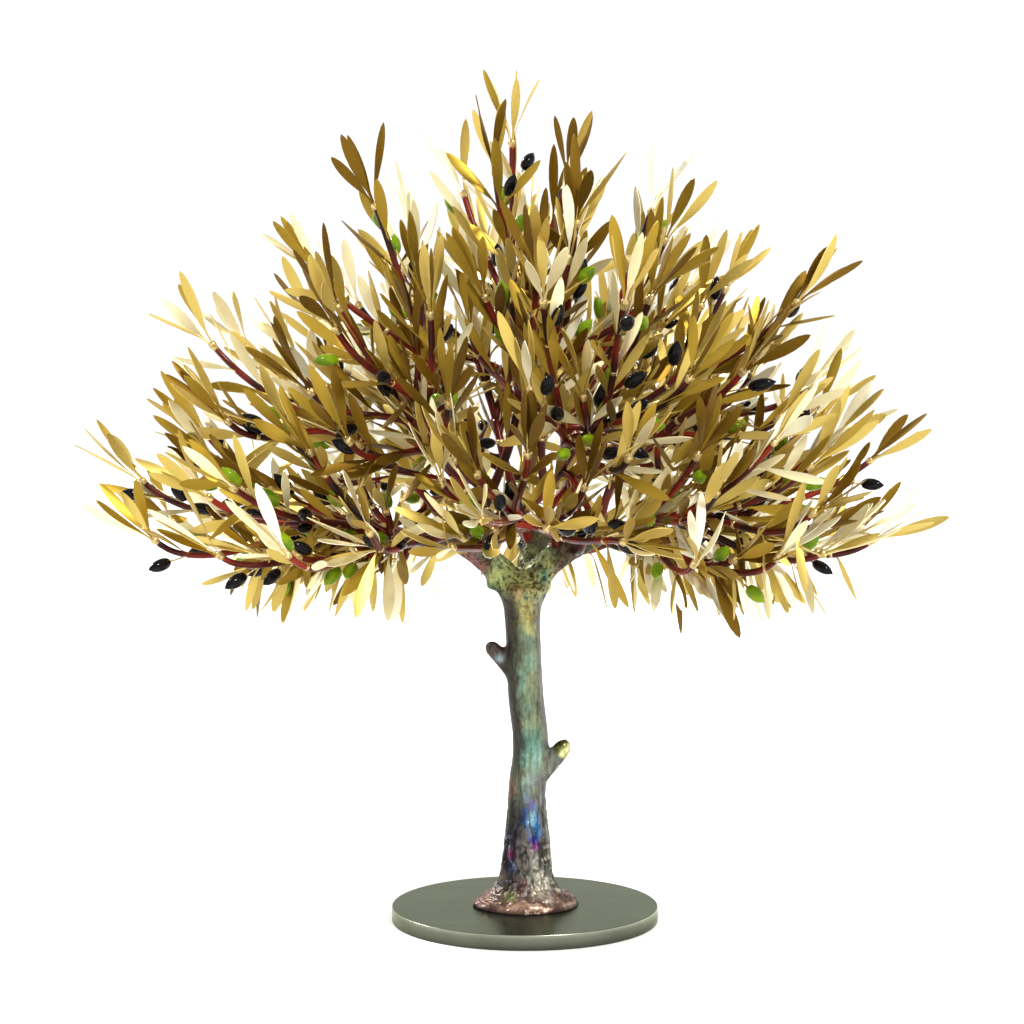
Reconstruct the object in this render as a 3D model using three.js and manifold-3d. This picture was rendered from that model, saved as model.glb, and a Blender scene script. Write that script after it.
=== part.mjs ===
// Table-top olive tree in metal: a patinated bronze trunk on a round steel plate, forking into cast
// boughs, from which copper rods carry sprays of brass leaves. Each spray of leaves is one uneven solid.
// Millimetres, +Z up, +Y towards the back. The origin is the centre of the plate's underside.
import * as THREE from "three";
import { mergeVertices } from "three/addons/utils/BufferGeometryUtils.js";
import Module from "manifold-3d";

const wasm = await Module();
wasm.setup();

const { atan2, cos, exp, hypot, max, min, PI, round, sin, sqrt } = Math;
const degrees = PI / 180;
const vec = (x, y, z) => new THREE.Vector3(x, y, z);

// ---------------------------------------------------------------- driving dimensions

const PLATE = { radius: 90, thickness: 10, bevel: 0.7, sides: 64 };
const GAP = 0.3; // left between solids that touch

// The trunk's radius is a shaft that swells towards the plate in two steps, and again into the fork.
const TRUNK = {
  foot: PLATE.thickness,
  top: 226,
  shaft: 11.5,
  taper: { radius: 8.5, height: 38 },
  flare: { radius: 14, height: 14 },
  swell: { radius: 6.5, height: 7 },
  roots: { count: 5, depth: 0.07, height: 30, turn: 1 }, // roots that show as lobes round the foot
  line: [[0, 0], [1.4, 45], [1.2, 78], [4.2, 125], [0.4, 170], [-1.2, 203], [-2, 226]], // x at height z
  sides: 24,
  rings: 22,
  crowding: 1.35, // above 1, rings lie closer together round the flare
};

// Stubs of sawn branches: where each leaves the trunk, its end, its radius at both, and how far the
// middle is bent aside. A nose is the share of a limb's length over which its end rounds off.
const STUBS = {
  stub_left: { from: [-4, -1, 166], to: [-26, -4, 188], radius: [7.8, 5.2], bend: [0, 0, 0] },
  stub_right: { from: [5, -3, 95], to: [29, -6, 122], radius: [8, 5.3], bend: [1, 0, -2] },
};
const STUB_MESH = { sides: 12, rings: 9, nose: 0.14 };

// Cast boughs: the points that each runs through, and its radius at the fork and at its end.
const BOUGHS = {
  bough_left: { points: [[-3, 0, 221], [-21, -1, 240], [-40, -1, 254], [-68, 2, 265]], radius: [11.5, 6.4] },
  bough_right: { points: [[3, 1, 220], [10, 5, 235], [28, 11, 249], [58, 17, 262]], radius: [11.5, 6.6] },
  bough_back: { points: [[0, 6, 218], [3, 22, 239], [10, 40, 258], [17, 60, 277]], radius: [10.5, 6.5] },
  bough_front: { points: [[-30, -2, 246], [-26, -18, 254], [-20, -38, 263], [-15, -58, 272]], radius: [8.5, 6] },
};
const BOUGH_MESH = { sides: 12, rings: 8, nose: 0.1 };
const CUT_END = 0.12; // share of its radius, squared, that a rounded end keeps as a flat

// Rods: radius at both ends, the room that each takes on a bough, where along a bough they may start,
// and how long a rod keeps its first and last direction, as a share of its length.
const ROD = { start: 3.6, end: 2.9, room: 7.8, first: 0.34, last: 0.99, places: 16, lead: 0.4 };
const ROD_MESH = { sides: 7, rings: 6 };

// Sprays of leaves grow from the hub in tiers. Each tier gives its sprays' height angle and the first
// one's bearing, how far the foot of a spray is from the hub, how far the foot dips below the straight
// line to the tip, and how far each spray's tip reaches.
const HUB = vec(-3, 0, 245);
const TIERS = {
  low: { height: 14, bearing: 0, foot: 78, dip: 24, reach: [291, 284, 272, 284, 305, 281, 268, 285] },
  mid: { height: 40, bearing: -4, foot: 90, dip: 6, reach: [299, 288, 290, 300, 284, 288] },
  high: { height: 65, bearing: 16, foot: 96, dip: 0, reach: [301, 293, 303, 290] },
  top: { height: 87, bearing: 350, foot: 104, dip: 0, reach: [327] },
};
const SPRAY = {
  across: 104, // half of a spray's width, before its limits draw it in
  thick: 88, // half of its height
  slim: 0.62, // share of both at its foot
  fuller: 0.5, // and what is added to that share by its tip
  tilt: [4, -3, 2, -2, 1, 3, -4, 0], // degrees by which a tier's sprays stray from its height angle
  stray: [-2, 4, -3, 2, -3, -4, 3, 1], // and from even bearings
  sides: 12,
  rings: 8,
  room: 2.5, // left on each side of the plane between two sprays
  roundness: 7, // how sharply one limit gives way to the next: higher is sharper
  least: 0.15, // the smallest share of its height that a spray keeps above the crown's underside
};
// Two waves run round and along each spray, out of step with its neighbours'.
const WAVES = [
  { size: 0.1, round: 3, along: 5, step: 2.1 },
  { size: 0.07, round: 5, along: -8, step: 1.3 },
];
// The crown's underside is a shallow bowl: lowest round the trunk, and higher at the rim.
const UNDERSIDE = { low: 193, rise: 72, at: 262, power: 2.2 };

// ---------------------------------------------------------------- solids and meshes

// A closed geometry as a solid, for joining and cutting.
function solid(geometry) {
  for (const name of ["normal", "uv"]) geometry.deleteAttribute(name);
  const merged = mergeVertices(geometry, 1e-3);
  return new wasm.Manifold(
    new wasm.Mesh({
      numProp: 3,
      vertProperties: merged.attributes.position.array,
      triVerts: new Uint32Array(merged.index.array),
    }),
  );
}

// The largest body of a solid: a cut can leave a crumb behind.
function largest(cut) {
  return cut.decompose().reduce((a, b) => (b.volume() > a.volume() ? b : a));
}

function mesh(name, shape, material) {
  const made = shape.getMesh();
  const geometry = new THREE.BufferGeometry()
    .setAttribute("position", new THREE.BufferAttribute(new Float32Array(made.vertProperties), 3))
    .setIndex(new THREE.BufferAttribute(new Uint32Array(made.triVerts), 1));
  geometry.computeVertexNormals();
  const result = new THREE.Mesh(geometry, material);
  result.name = name;
  return result;
}

// ---------------------------------------------------------------- plate, trunk and limbs

function plate() {
  const { radius, thickness, bevel, sides } = PLATE;
  const profile = [
    [0, 0],
    [radius - bevel, 0],
    [radius, bevel],
    [radius, thickness - bevel],
    [radius - bevel, thickness],
    [0, thickness],
  ].map(([r, z]) => new THREE.Vector2(r, z));
  return solid(new THREE.LatheGeometry(profile, sides).rotateX(PI / 2));
}

function trunkRadius(z, angle) {
  const above = z - TRUNK.foot;
  const { taper, flare, swell, roots } = TRUNK;
  const radius =
    TRUNK.shaft +
    taper.radius * exp(-above / taper.height) +
    flare.radius * exp(-above / flare.height) +
    swell.radius * exp((z - TRUNK.top) / swell.height);
  return radius * (1 + roots.depth * exp(-above / roots.height) * cos(roots.count * angle + roots.turn));
}

// The trunk is a warped cylinder whose rings stay level, so that its foot is a flat cut on the plate.
// To grow it by a margin, its wall and its top are both moved out.
function trunk(grow = 0) {
  const { foot, top, line, sides, rings, crowding } = TRUNK;
  const centres = new THREE.SplineCurve(line.map(([x, z]) => new THREE.Vector2(x, z)));
  const geometry = new THREE.CylinderGeometry(1, 1, 1, sides, rings);
  const position = geometry.getAttribute("position");
  for (let i = 0; i < position.count; i++) {
    const [x, y, z] = [position.getX(i), position.getY(i), position.getZ(i)];
    const t = (y + 0.5) ** crowding;
    const level = foot + (top - foot) * t;
    const on_wall = hypot(x, z) > 0.5;
    const radius = on_wall ? trunkRadius(level, atan2(-z, x)) + grow : 0;
    const raised = y === 0.5 ? grow : 0;
    position.setXYZ(i, centres.getPoint(t).x + x * radius, -z * radius, level + raised);
  }
  return solid(geometry);
}

// A limb of round section along a curve: radiusAt(t) with t from 0 to 1. To grow it by a margin, its
// wall and its end are both moved out.
function limb(curve, radiusAt, { sides, rings }, grow = 0) {
  const geometry = new THREE.CylinderGeometry(1, 1, 1, sides, rings);
  const frames = curve.computeFrenetFrames(rings, false);
  const centres = curve.getSpacedPoints(rings);
  centres[rings].addScaledVector(frames.tangents[rings], grow);
  const position = geometry.getAttribute("position");
  for (let i = 0; i < position.count; i++) {
    const [x, y, z] = [position.getX(i), position.getY(i), position.getZ(i)];
    const ring = round((0.5 - y) * rings);
    const on_wall = hypot(x, z) > 0.5;
    const radius = on_wall ? radiusAt(ring / rings) + grow : 0;
    const place = centres[ring]
      .clone()
      .addScaledVector(frames.normals[ring], x * radius)
      .addScaledVector(frames.binormals[ring], z * radius);
    position.setXYZ(i, place.x, place.y, place.z);
  }
  return solid(geometry);
}

// A taper from one radius to another that rounds off over the last part of the limb.
function rounded([first, last], nose) {
  return (t) => {
    const in_nose = max(0, (t - (1 - nose)) / nose);
    return (first + (last - first) * t) * sqrt(max(CUT_END, 1 - in_nose ** 2));
  };
}

function stub({ from, to, radius, bend }, cutter) {
  const [start, end] = [vec(...from), vec(...to)];
  const middle = start.clone().add(end).multiplyScalar(0.5).add(vec(...bend));
  const curve = new THREE.QuadraticBezierCurve3(start, middle, end);
  return largest(limb(curve, rounded(radius, STUB_MESH.nose), STUB_MESH).subtract(cutter));
}

// ---------------------------------------------------------------- sprays of leaves

// Every spray's name, its direction from the hub, and its tier's measures.
function sprayPlan() {
  const plan = [];
  for (const [tier, { height, bearing, foot, dip, reach }] of Object.entries(TIERS)) {
    reach.forEach((tip, i) => {
      const turn = (bearing + (360 * i) / reach.length + SPRAY.stray[i]) * degrees;
      const up = (height + SPRAY.tilt[i]) * degrees;
      const way = vec(cos(turn) * cos(up), sin(turn) * cos(up), sin(up));
      const name = reach.length > 1 ? `${tier}_${i + 1}` : tier;
      plan.push({ name, way, foot, dip, tip, order: plan.length });
    });
  }
  return plan;
}

// The middle line of a spray at share a of the way from its foot to its tip, seen from the hub.
function middleLine({ way, foot, dip, tip }, a) {
  return way.clone().multiplyScalar(foot + (tip - foot) * a).add(vec(0, 0, -dip * (1 - a) ** 2));
}

// How full a spray is at share a of its length and at an angle round it.
function fullness(a, angle, order) {
  const uneven = WAVES.reduce((sum, w) => sum + w.size * sin(w.round * angle + w.along * a + w.step * order), 1);
  return (SPRAY.slim + SPRAY.fuller * a) * uneven;
}

// The height of the crown's underside at a distance from the hub's upright.
function underside(distance) {
  const { low, rise, at, power } = UNDERSIDE;
  return low + rise * (distance / at) ** power;
}

// One spray: a sphere drawn out along its middle line, and drawn in where it would cross the plane
// halfway to another spray or the crown's underside. Each limit shares in a soft minimum, so the sides
// round off and every corner stays inside the spray's own convex cell.
function spray(own, plan) {
  const geometry = new THREE.SphereGeometry(1, SPRAY.sides, SPRAY.rings);
  const position = geometry.getAttribute("position");
  const side = own.way.clone().cross(vec(0, 0, 1)).normalize();
  const up = side.clone().cross(own.way);
  const walls = plan.filter((other) => other !== own).map((other) => other.way.clone().sub(own.way).normalize());
  for (let i = 0; i < position.count; i++) {
    const [x, y, z] = [position.getX(i), position.getY(i), position.getZ(i)];
    const a = (y + 1) / 2;
    const centre = middleLine(own, a);
    const full = fullness(a, atan2(z, x), own.order);
    const out = side.clone().multiplyScalar(x * SPRAY.across * full).addScaledVector(up, z * SPRAY.thick * full);
    const limits = [1];
    for (const wall of walls) {
      const towards = out.dot(wall);
      if (towards > 0) limits.push((-SPRAY.room - centre.dot(wall)) / towards);
    }
    const drop = HUB.z + centre.z - underside(hypot(centre.x + out.x, centre.y + out.y));
    if (out.z < 0) limits.push(max(SPRAY.least, drop / -out.z));
    const share = limits.reduce((sum, limit) => sum + limit ** -SPRAY.roundness, 0) ** (-1 / SPRAY.roundness);
    centre.addScaledVector(out, share).add(HUB);
    position.setXYZ(i, centre.x, centre.y, centre.z);
  }
  return solid(geometry);
}

// ---------------------------------------------------------------- rods

// Places on the boughs that a rod may leave from, each used by one rod.
function rodPlaces(curves) {
  const { first, last, places } = ROD;
  const shares = Array.from({ length: places }, (_, i) => first + ((last - first) * i) / (places - 1));
  return curves.flatMap((curve) => shares.map((share) => curve.getPointAt(share)));
}

// A rod runs from the nearest free place on a bough to the foot of its spray, which it meets end on.
function rodCurve(own, places, taken) {
  const arrive = middleLine(own, 0.02).sub(middleLine(own, 0)).normalize();
  const end = middleLine(own, 0).add(HUB).addScaledVector(arrive, -GAP);
  const free = places.filter((place) => taken.every((other) => other.distanceTo(place) > ROD.room));
  const start = free.reduce((a, b) => (b.distanceTo(end) < a.distanceTo(end) ? b : a));
  taken.push(start);
  const lead = start.distanceTo(end) * ROD.lead;
  const after = end.clone().sub(start).normalize().multiplyScalar(lead).add(start);
  const before = end.clone().addScaledVector(arrive, -lead);
  return new THREE.CubicBezierCurve3(start, after, before, end);
}

const rodRadius = (t) => ROD.start + (ROD.end - ROD.start) * t;

// ---------------------------------------------------------------- assembly

const steel = new THREE.MeshStandardMaterial({ color: 0x5d6058, roughness: 0.42, metalness: 0.9 });
const bronze = new THREE.MeshStandardMaterial({ color: 0x6f7a62, roughness: 0.5, metalness: 0.8 });
const copper = new THREE.MeshStandardMaterial({ color: 0x4a1714, roughness: 0.35, metalness: 0.7 });
const brass = new THREE.MeshStandardMaterial({ color: 0xa88b3c, roughness: 0.4, metalness: 0.8 });

const tree = new THREE.Group();
tree.add(mesh("plate", plate(), steel));
tree.add(mesh("trunk", trunk(), bronze));

const around_trunk = trunk(GAP);
for (const [name, design] of Object.entries(STUBS)) tree.add(mesh(name, stub(design, around_trunk), bronze));

// Each bough is cut by the trunk and by the boughs made before it, and each rod by the boughs and by
// the rods made before it.
const bough_curves = [];
const around_boughs = [];
for (const [name, { points, radius }] of Object.entries(BOUGHS)) {
  const curve = new THREE.CatmullRomCurve3(points.map((point) => vec(...point)));
  const radiusAt = rounded(radius, BOUGH_MESH.nose);
  const whole = limb(curve, radiusAt, BOUGH_MESH);
  const cut = [around_trunk, ...around_boughs].reduce((shape, other) => shape.subtract(other), whole);
  tree.add(mesh(name, largest(cut), bronze));
  bough_curves.push(curve);
  around_boughs.push(limb(curve, radiusAt, BOUGH_MESH, GAP));
}

const plan = sprayPlan();
const places = rodPlaces(bough_curves);
const taken = [];
const around_rods = [];
for (const own of plan) {
  const curve = rodCurve(own, places, taken);
  const whole = limb(curve, rodRadius, ROD_MESH);
  const cut = [...around_boughs, ...around_rods].reduce((shape, other) => shape.subtract(other), whole);
  tree.add(mesh(`rod_${own.name}`, largest(cut), copper));
  tree.add(mesh(`leaves_${own.name}`, spray(own, plan), brass));
  around_rods.push(limb(curve, rodRadius, ROD_MESH, GAP));
}

export default tree;
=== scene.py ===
"""A table-top olive tree in metal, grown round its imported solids.

The plate, the casting, the copper rods, the brass leaves and the olives are each made by an operator of
their own. Everything is in metres, +Z up, with the origin at the centre of the plate's underside.
"""

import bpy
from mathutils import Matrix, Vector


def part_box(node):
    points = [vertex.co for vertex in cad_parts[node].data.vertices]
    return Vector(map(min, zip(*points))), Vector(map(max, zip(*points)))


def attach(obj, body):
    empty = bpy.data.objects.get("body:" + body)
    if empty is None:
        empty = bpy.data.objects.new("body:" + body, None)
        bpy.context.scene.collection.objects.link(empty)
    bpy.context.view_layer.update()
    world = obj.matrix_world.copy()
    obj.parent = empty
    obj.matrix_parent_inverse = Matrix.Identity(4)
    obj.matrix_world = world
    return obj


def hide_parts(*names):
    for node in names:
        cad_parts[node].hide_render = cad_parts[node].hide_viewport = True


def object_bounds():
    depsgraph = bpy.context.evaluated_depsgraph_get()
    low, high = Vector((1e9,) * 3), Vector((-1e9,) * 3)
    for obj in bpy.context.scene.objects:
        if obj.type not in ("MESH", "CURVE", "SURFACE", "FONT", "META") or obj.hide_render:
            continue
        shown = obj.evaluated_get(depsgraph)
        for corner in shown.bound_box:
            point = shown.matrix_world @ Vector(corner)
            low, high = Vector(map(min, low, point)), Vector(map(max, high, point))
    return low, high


bl_info = {
    "name": "Metal Olive Tree",
    "version": (1, 0, 0),
    "blender": (4, 5, 0),
    "location": "View3D > Sidebar > Olive Tree",
    "description": "Grows a table-top olive tree of bronze, copper and brass round its packed solids",
    "category": "Add Mesh",
}

import itertools
import math

import bmesh
import bpy
import numpy as np
from bpy.props import FloatProperty, FloatVectorProperty, IntProperty, PointerProperty
from mathutils import Vector

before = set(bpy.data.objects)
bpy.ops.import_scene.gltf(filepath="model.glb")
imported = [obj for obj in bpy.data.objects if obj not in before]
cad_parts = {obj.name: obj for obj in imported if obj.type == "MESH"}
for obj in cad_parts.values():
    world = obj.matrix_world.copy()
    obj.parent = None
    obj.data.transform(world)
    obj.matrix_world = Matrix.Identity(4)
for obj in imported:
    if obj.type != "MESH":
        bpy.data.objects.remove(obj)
CAD_BOX = [list(corner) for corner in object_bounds()]

MM = 0.001
UP = np.array([0.0, 0.0, 1.0])


# ---------------------------------------------------------------- what the frame says


def read(items, field, width, kind=float):
    """One field of a mesh's items, as an array with a row for each item."""
    values = np.empty(len(items) * width, kind)
    items.foreach_get(field, values)
    return values.reshape(-1, width)


def triangles(node):
    """A CAD node's triangles, as an array of three corners each."""
    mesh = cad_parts[node].data
    mesh.calc_loop_triangles()
    return read(mesh.vertices, "co", 3)[read(mesh.loop_triangles, "vertices", 3, np.int32)]


def unit(vectors):
    """Vectors brought to length 1."""
    return vectors / np.maximum(np.linalg.norm(vectors, axis=-1, keepdims=True), 1e-12)


def faces_of(corners):
    """Each triangle's middle, outward normal and area."""
    cross = np.cross(corners[:, 1] - corners[:, 0], corners[:, 2] - corners[:, 0])
    return corners.mean(1), unit(cross), np.linalg.norm(cross, axis=1) / 2


CASTING = [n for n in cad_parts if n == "trunk" or n.startswith(("stub_", "bough_"))]
SPRAYS = sorted(n.removeprefix("leaves_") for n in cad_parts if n.startswith("leaves_"))
PLATE_LOW, PLATE_HIGH = (np.array(corner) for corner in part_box("plate"))
TRUNK_LOW, TRUNK_HIGH = (np.array(corner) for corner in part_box("trunk"))
PLATE_TOP = PLATE_HIGH[2]
TRUNK_HEIGHT = TRUNK_HIGH[2] - TRUNK_LOW[2]


def trunk_line():
    """The trunk's middle and radius at each ring of its solid: the middle of the box round the ring's
    wall, and the wall's mean distance from it."""
    points = triangles("trunk").reshape(-1, 3)
    levels = np.unique(np.round(points[:, 2], 5))
    middles, radii = [], []
    for level in levels:
        ring = points[np.abs(points[:, 2] - level) < 0.01 * MM]
        wall = ring[np.linalg.norm(ring[:, :2] - ring[:, :2].mean(0), axis=1) > 5 * MM]
        middles.append((wall.min(0) + wall.max(0))[:2] / 2)
        radii.append(np.linalg.norm(wall[:, :2] - middles[-1], axis=1).mean())
    return levels, np.array(middles), np.array(radii)


LEVELS, MIDDLES, RADII = trunk_line()
FORK = np.array([*MIDDLES[-1], TRUNK_HIGH[2]])


def trunk_at(level):
    """The trunk's middle and radius at a level, or at many."""
    middle = np.stack([np.interp(level, LEVELS, MIDDLES[:, axis]) for axis in (0, 1)], -1)
    return middle, np.interp(level, LEVELS, RADII)


def up_trunk(points):
    """The height of points as a share of the trunk's."""
    return (points[:, 2] - TRUNK_LOW[2]) / TRUNK_HEIGHT


def on_trunk(height, bearing):
    """A point on the trunk's skin: height as a share of the trunk's, bearing in degrees with 0 to the
    right and -90 to the front."""
    level = TRUNK_LOW[2] + height * TRUNK_HEIGHT
    middle, radius = trunk_at(level)
    turn = math.radians(bearing)
    return np.array([middle[0] + radius * math.cos(turn), middle[1] + radius * math.sin(turn), level])


def inside(node, *shares):
    """A point at these shares of a CAD node's box, across, back and up."""
    low, high = (np.array(corner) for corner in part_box(node))
    return low + (high - low) * shares


# ---------------------------------------------------------------- surfaces


def cast_noise(points, seed):
    """Smooth noise from 0 to 1: a random number at each corner of a grid of unit cubes, blended across
    every cube by the smooth step 3t^2 - 2t^3 along each axis."""
    cell = np.floor(points).astype(np.int64)
    share = points - cell
    share = share * share * (3 - 2 * share)
    total = np.zeros(len(points))
    for corner in itertools.product((0, 1), repeat=3):
        x, y, z = (cell + corner).T
        mixed = (x * 73856093) ^ (y * 19349663) ^ (z * 83492791) ^ (seed * 2654435761)
        mixed = ((mixed ^ (mixed >> 13)) * 1274126177) & 0xFFFFFFFF
        number = ((mixed ^ (mixed >> 16)) & 0xFFFF) / 0xFFFF
        total += number * np.where(corner, share, 1 - share).prod(1)
    return total


def fractal(points, grain, seed, octaves=3, stretch=(1, 1, 1)):
    """Noise of several grains from 0 to 1, each half the size and half the weight of the last."""
    total, weight, reach = 0.0, 1.0, 0.0
    scaled = points / (grain * np.array(stretch))
    for octave in range(octaves):
        total = total + weight * cast_noise(scaled * 2**octave + 17.3 * octave, seed + octave)
        reach += weight
        weight /= 2
    return total / reach


def smooth_step(low, high, values):
    """0 below low, 1 above high, and an S-shaped rise between."""
    t = np.clip((values - low) / (high - low), 0, 1)
    return t * t * (3 - 2 * t)


def bump_at(values, middle, width):
    """A bell of height 1 round a middle value: e to the power of minus the square of the distance."""
    return np.exp(-(((values - middle) / width) ** 2))


def far_from(points, place, *reach):
    """How far points lie from a place, as a share of its reach in mm: one for all axes or one for each."""
    return np.linalg.norm((points - place) / (np.array(reach) * MM), axis=1)


def bell(points, place, *reach):
    """A bell of height 1 round a place, with its reach in mm."""
    return bump_at(far_from(points, place, *reach), 0, 1)


def circle(sides):
    """The cosines and sines of a full turn in even steps."""
    turn = np.arange(sides) * 2 * np.pi / sides
    return np.cos(turn), np.sin(turn)


def tube_faces(count, rings, sides):
    """The quads of closed tubes: each ring joined to the next, and both ends closed by strips of quads."""
    ring = np.arange(rings - 1)[:, None] * sides
    side = np.arange(sides)[None]
    near, far = ring + side, ring + (side + 1) % sides
    wall = np.stack([near, far, far + sides, near + sides], -1).reshape(-1, 4)
    half = np.arange(sides // 2 - 1)
    cap = np.stack([half, half + 1, sides - 2 - half, sides - 1 - half], -1)
    one = np.concatenate([wall, cap[:, ::-1], cap + (rings - 1) * sides])
    return (one[None] + np.arange(count)[:, None, None] * rings * sides).reshape(-1, 4)


def least_along(ways):
    """An axis far from each direction: up, or x where the direction itself is steep."""
    return np.where(np.abs(ways[..., 2:]) > 0.8, [1.0, 0.0, 0.0], UP)


def carried(paths, across=None):
    """Directions across and up at each point of the paths: each across is the last one with what leans
    along the path taken out of it, and up is square to both."""
    along = unit(np.gradient(paths, axis=1))
    if across is None:
        across = np.cross(least_along(along[:, 0]), along[:, 0])
    sides = np.empty_like(paths)
    for step in range(paths.shape[1]):
        leant = (across * along[:, step]).sum(-1, keepdims=True) * along[:, step]
        across = sides[:, step] = unit(across - leant)
    return sides, np.cross(along, sides)


def swept(paths, across_by, up_by, across=None):
    """A profile carried along each path: point k of the profile at step j stands across_by[j, k] across
    and up_by[j, k] up from the path. Returns the points and the quads of closed tubes."""
    sides, ups = carried(paths, across)
    points = paths[:, :, None] + sides[:, :, None] * across_by[..., None] + ups[:, :, None] * up_by[..., None]
    count, rings, ring = points.shape[:3]
    return points.reshape(-1, 3), tube_faces(count, rings, ring)


def round_tubes(paths, radii, sides):
    """Tubes of round section along the paths, with a radius at each of their points."""
    return swept(paths, *(radii[..., None] * part for part in circle(sides)))


def revolved(bases, directions, lengths, t, radii, sides):
    """Solids turned about straight axes, from each base in its direction: at each share t of the length
    the section is a circle of its radius."""
    paths = bases[:, None] + directions[:, None] * (t[None, :, None] * lengths[:, None, None])
    return round_tubes(paths, radii, sides)


def bezier(starts, leaves, arrives, ends, steps):
    """Cubic curves from start to end that leave and arrive along two handles, at even steps."""
    t = np.linspace(0, 1, steps)[:, None]
    return (
        (1 - t) ** 3 * starts
        + 3 * (1 - t) ** 2 * t * (starts + leaves)
        + 3 * (1 - t) * t**2 * (ends - arrives)
        + t**3 * ends
    )


def reached(path, distances):
    """The points at these distances along a path from its start, and its direction there."""
    pieces = np.linalg.norm(np.diff(path, axis=0), axis=1)
    marks = np.concatenate([[0], np.cumsum(pieces)])
    along = unit(np.gradient(path, axis=0))
    places = np.stack([np.interp(distances, marks, path[:, axis]) for axis in range(3)], -1)
    ways = np.stack([np.interp(distances, marks, along[:, axis]) for axis in range(3)], -1)
    return places, unit(ways)


def path_length(path):
    """The sum of a path's steps."""
    return np.linalg.norm(np.diff(path, axis=0), axis=1).sum()


def placed(name, data):
    """A new object at the origin that holds this data."""
    made = bpy.data.objects.new(name, data)
    bpy.context.scene.collection.objects.link(made)
    return made


def new_piece(name, points, faces, materials, tints=None, crease=None):
    """A mesh object at the origin from arrays of points and quads, smooth but for edges sharper than
    the crease. tints picks a material for each face."""
    mesh = bpy.data.meshes.new(name)
    mesh.vertices.add(len(points))
    mesh.vertices.foreach_set("co", points.astype(np.float32).ravel())
    mesh.loops.add(faces.size)
    mesh.loops.foreach_set("vertex_index", faces.astype(np.int32).ravel())
    mesh.polygons.add(len(faces))
    mesh.polygons.foreach_set("loop_start", np.arange(0, faces.size, faces.shape[1], dtype=np.int32))
    mesh.polygons.foreach_set("use_smooth", np.ones(len(faces), bool))
    for material in materials:
        mesh.materials.append(material)
    if tints is not None:
        mesh.polygons.foreach_set("material_index", tints.astype(np.int32))
    mesh.update(calc_edges=True)
    mesh.validate()
    if crease is not None:
        mesh.set_sharp_from_angle(angle=crease)
    return placed(name, mesh)


def keep(piece, nodes=()):
    """Sets a finished piece on the tree's one body, in place of these CAD nodes. The olives' glaze has
    no slot of its own."""
    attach(piece, "root")
    if nodes:
        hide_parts(*nodes)


# ---------------------------------------------------------------- materials


def srgb(red, green, blue):
    """A colour given as screen values from 0 to 255, in Blender's linear values."""
    c = np.array([red, green, blue]) / 255
    return tuple(np.where(c <= 0.04045, c / 12.92, ((c + 0.055) / 1.055) ** 2.4))


def new_material(name, colour, metallic, roughness, **more):
    """A material whose shader keeps its uniform numbers on its own sockets."""
    material = bpy.data.materials.new(name)
    material.use_nodes = True
    shader = material.node_tree.nodes["Principled BSDF"]
    shader.inputs["Base Color"].default_value = (*colour, 1)
    shader.inputs["Metallic"].default_value = metallic
    shader.inputs["Roughness"].default_value = roughness
    for socket, value in more.items():
        shader.inputs[socket.replace("_", " ").title().replace("Ior", "IOR")].default_value = value
    return material


def node(material, kind, inputs=(), **settings):
    """A new node with these settings. Each input is a number, a vector or a socket to link from."""
    made = material.node_tree.nodes.new(kind)
    for name, value in settings.items():
        setattr(made, name, value)
    for name, value in dict(inputs).items():
        if isinstance(value, bpy.types.NodeSocket):
            material.node_tree.links.new(value, made.inputs[name])
        else:
            made.inputs[name].default_value = value
    return made


def feed(material, socket, value):
    """Links a value to a socket of the material's shader."""
    material.node_tree.links.new(value, material.node_tree.nodes["Principled BSDF"].inputs[socket])


def noise_of(material, scale, detail=4.0, stretch=(1, 1, 1)):
    """Noise in the piece's own coordinates, scale cells to the metre, drawn out along stretch."""
    place = node(material, "ShaderNodeTexCoord").outputs["Object"]
    shares = [1 / s for s in stretch]
    drawn = node(material, "ShaderNodeMapping", {"Vector": place, "Scale": shares}).outputs["Vector"]
    inputs = {"Vector": drawn, "Scale": scale, "Detail": detail}
    return node(material, "ShaderNodeTexNoise", inputs).outputs["Fac"]


def colours_along(material, value, stops):
    """Colours along a value from 0 to 1, blended between the stops."""
    made = node(material, "ShaderNodeValToRGB", {"Fac": value})
    elements = made.color_ramp.elements
    while len(elements) < len(stops):
        elements.new(0.5)
    for element, (at, colour) in zip(elements, stops):
        element.position = at
        element.color = (*colour, 1)
    return made.outputs["Color"]


def ranged(material, value, low, high, first=0.0, last=1.0):
    """A value spread from low to high as it goes from first to last."""
    inputs = {"Value": value, "From Min": first, "From Max": last, "To Min": low, "To Max": high}
    return node(material, "ShaderNodeMapRange", inputs).outputs["Result"]


def add_bump(material, height, strength, depth):
    """Fine relief on the shader's normal, from a height of 0 to 1."""
    inputs = {"Height": height, "Strength": strength, "Distance": depth}
    feed(material, "Normal", node(material, "ShaderNodeBump", inputs).outputs["Normal"])


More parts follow.
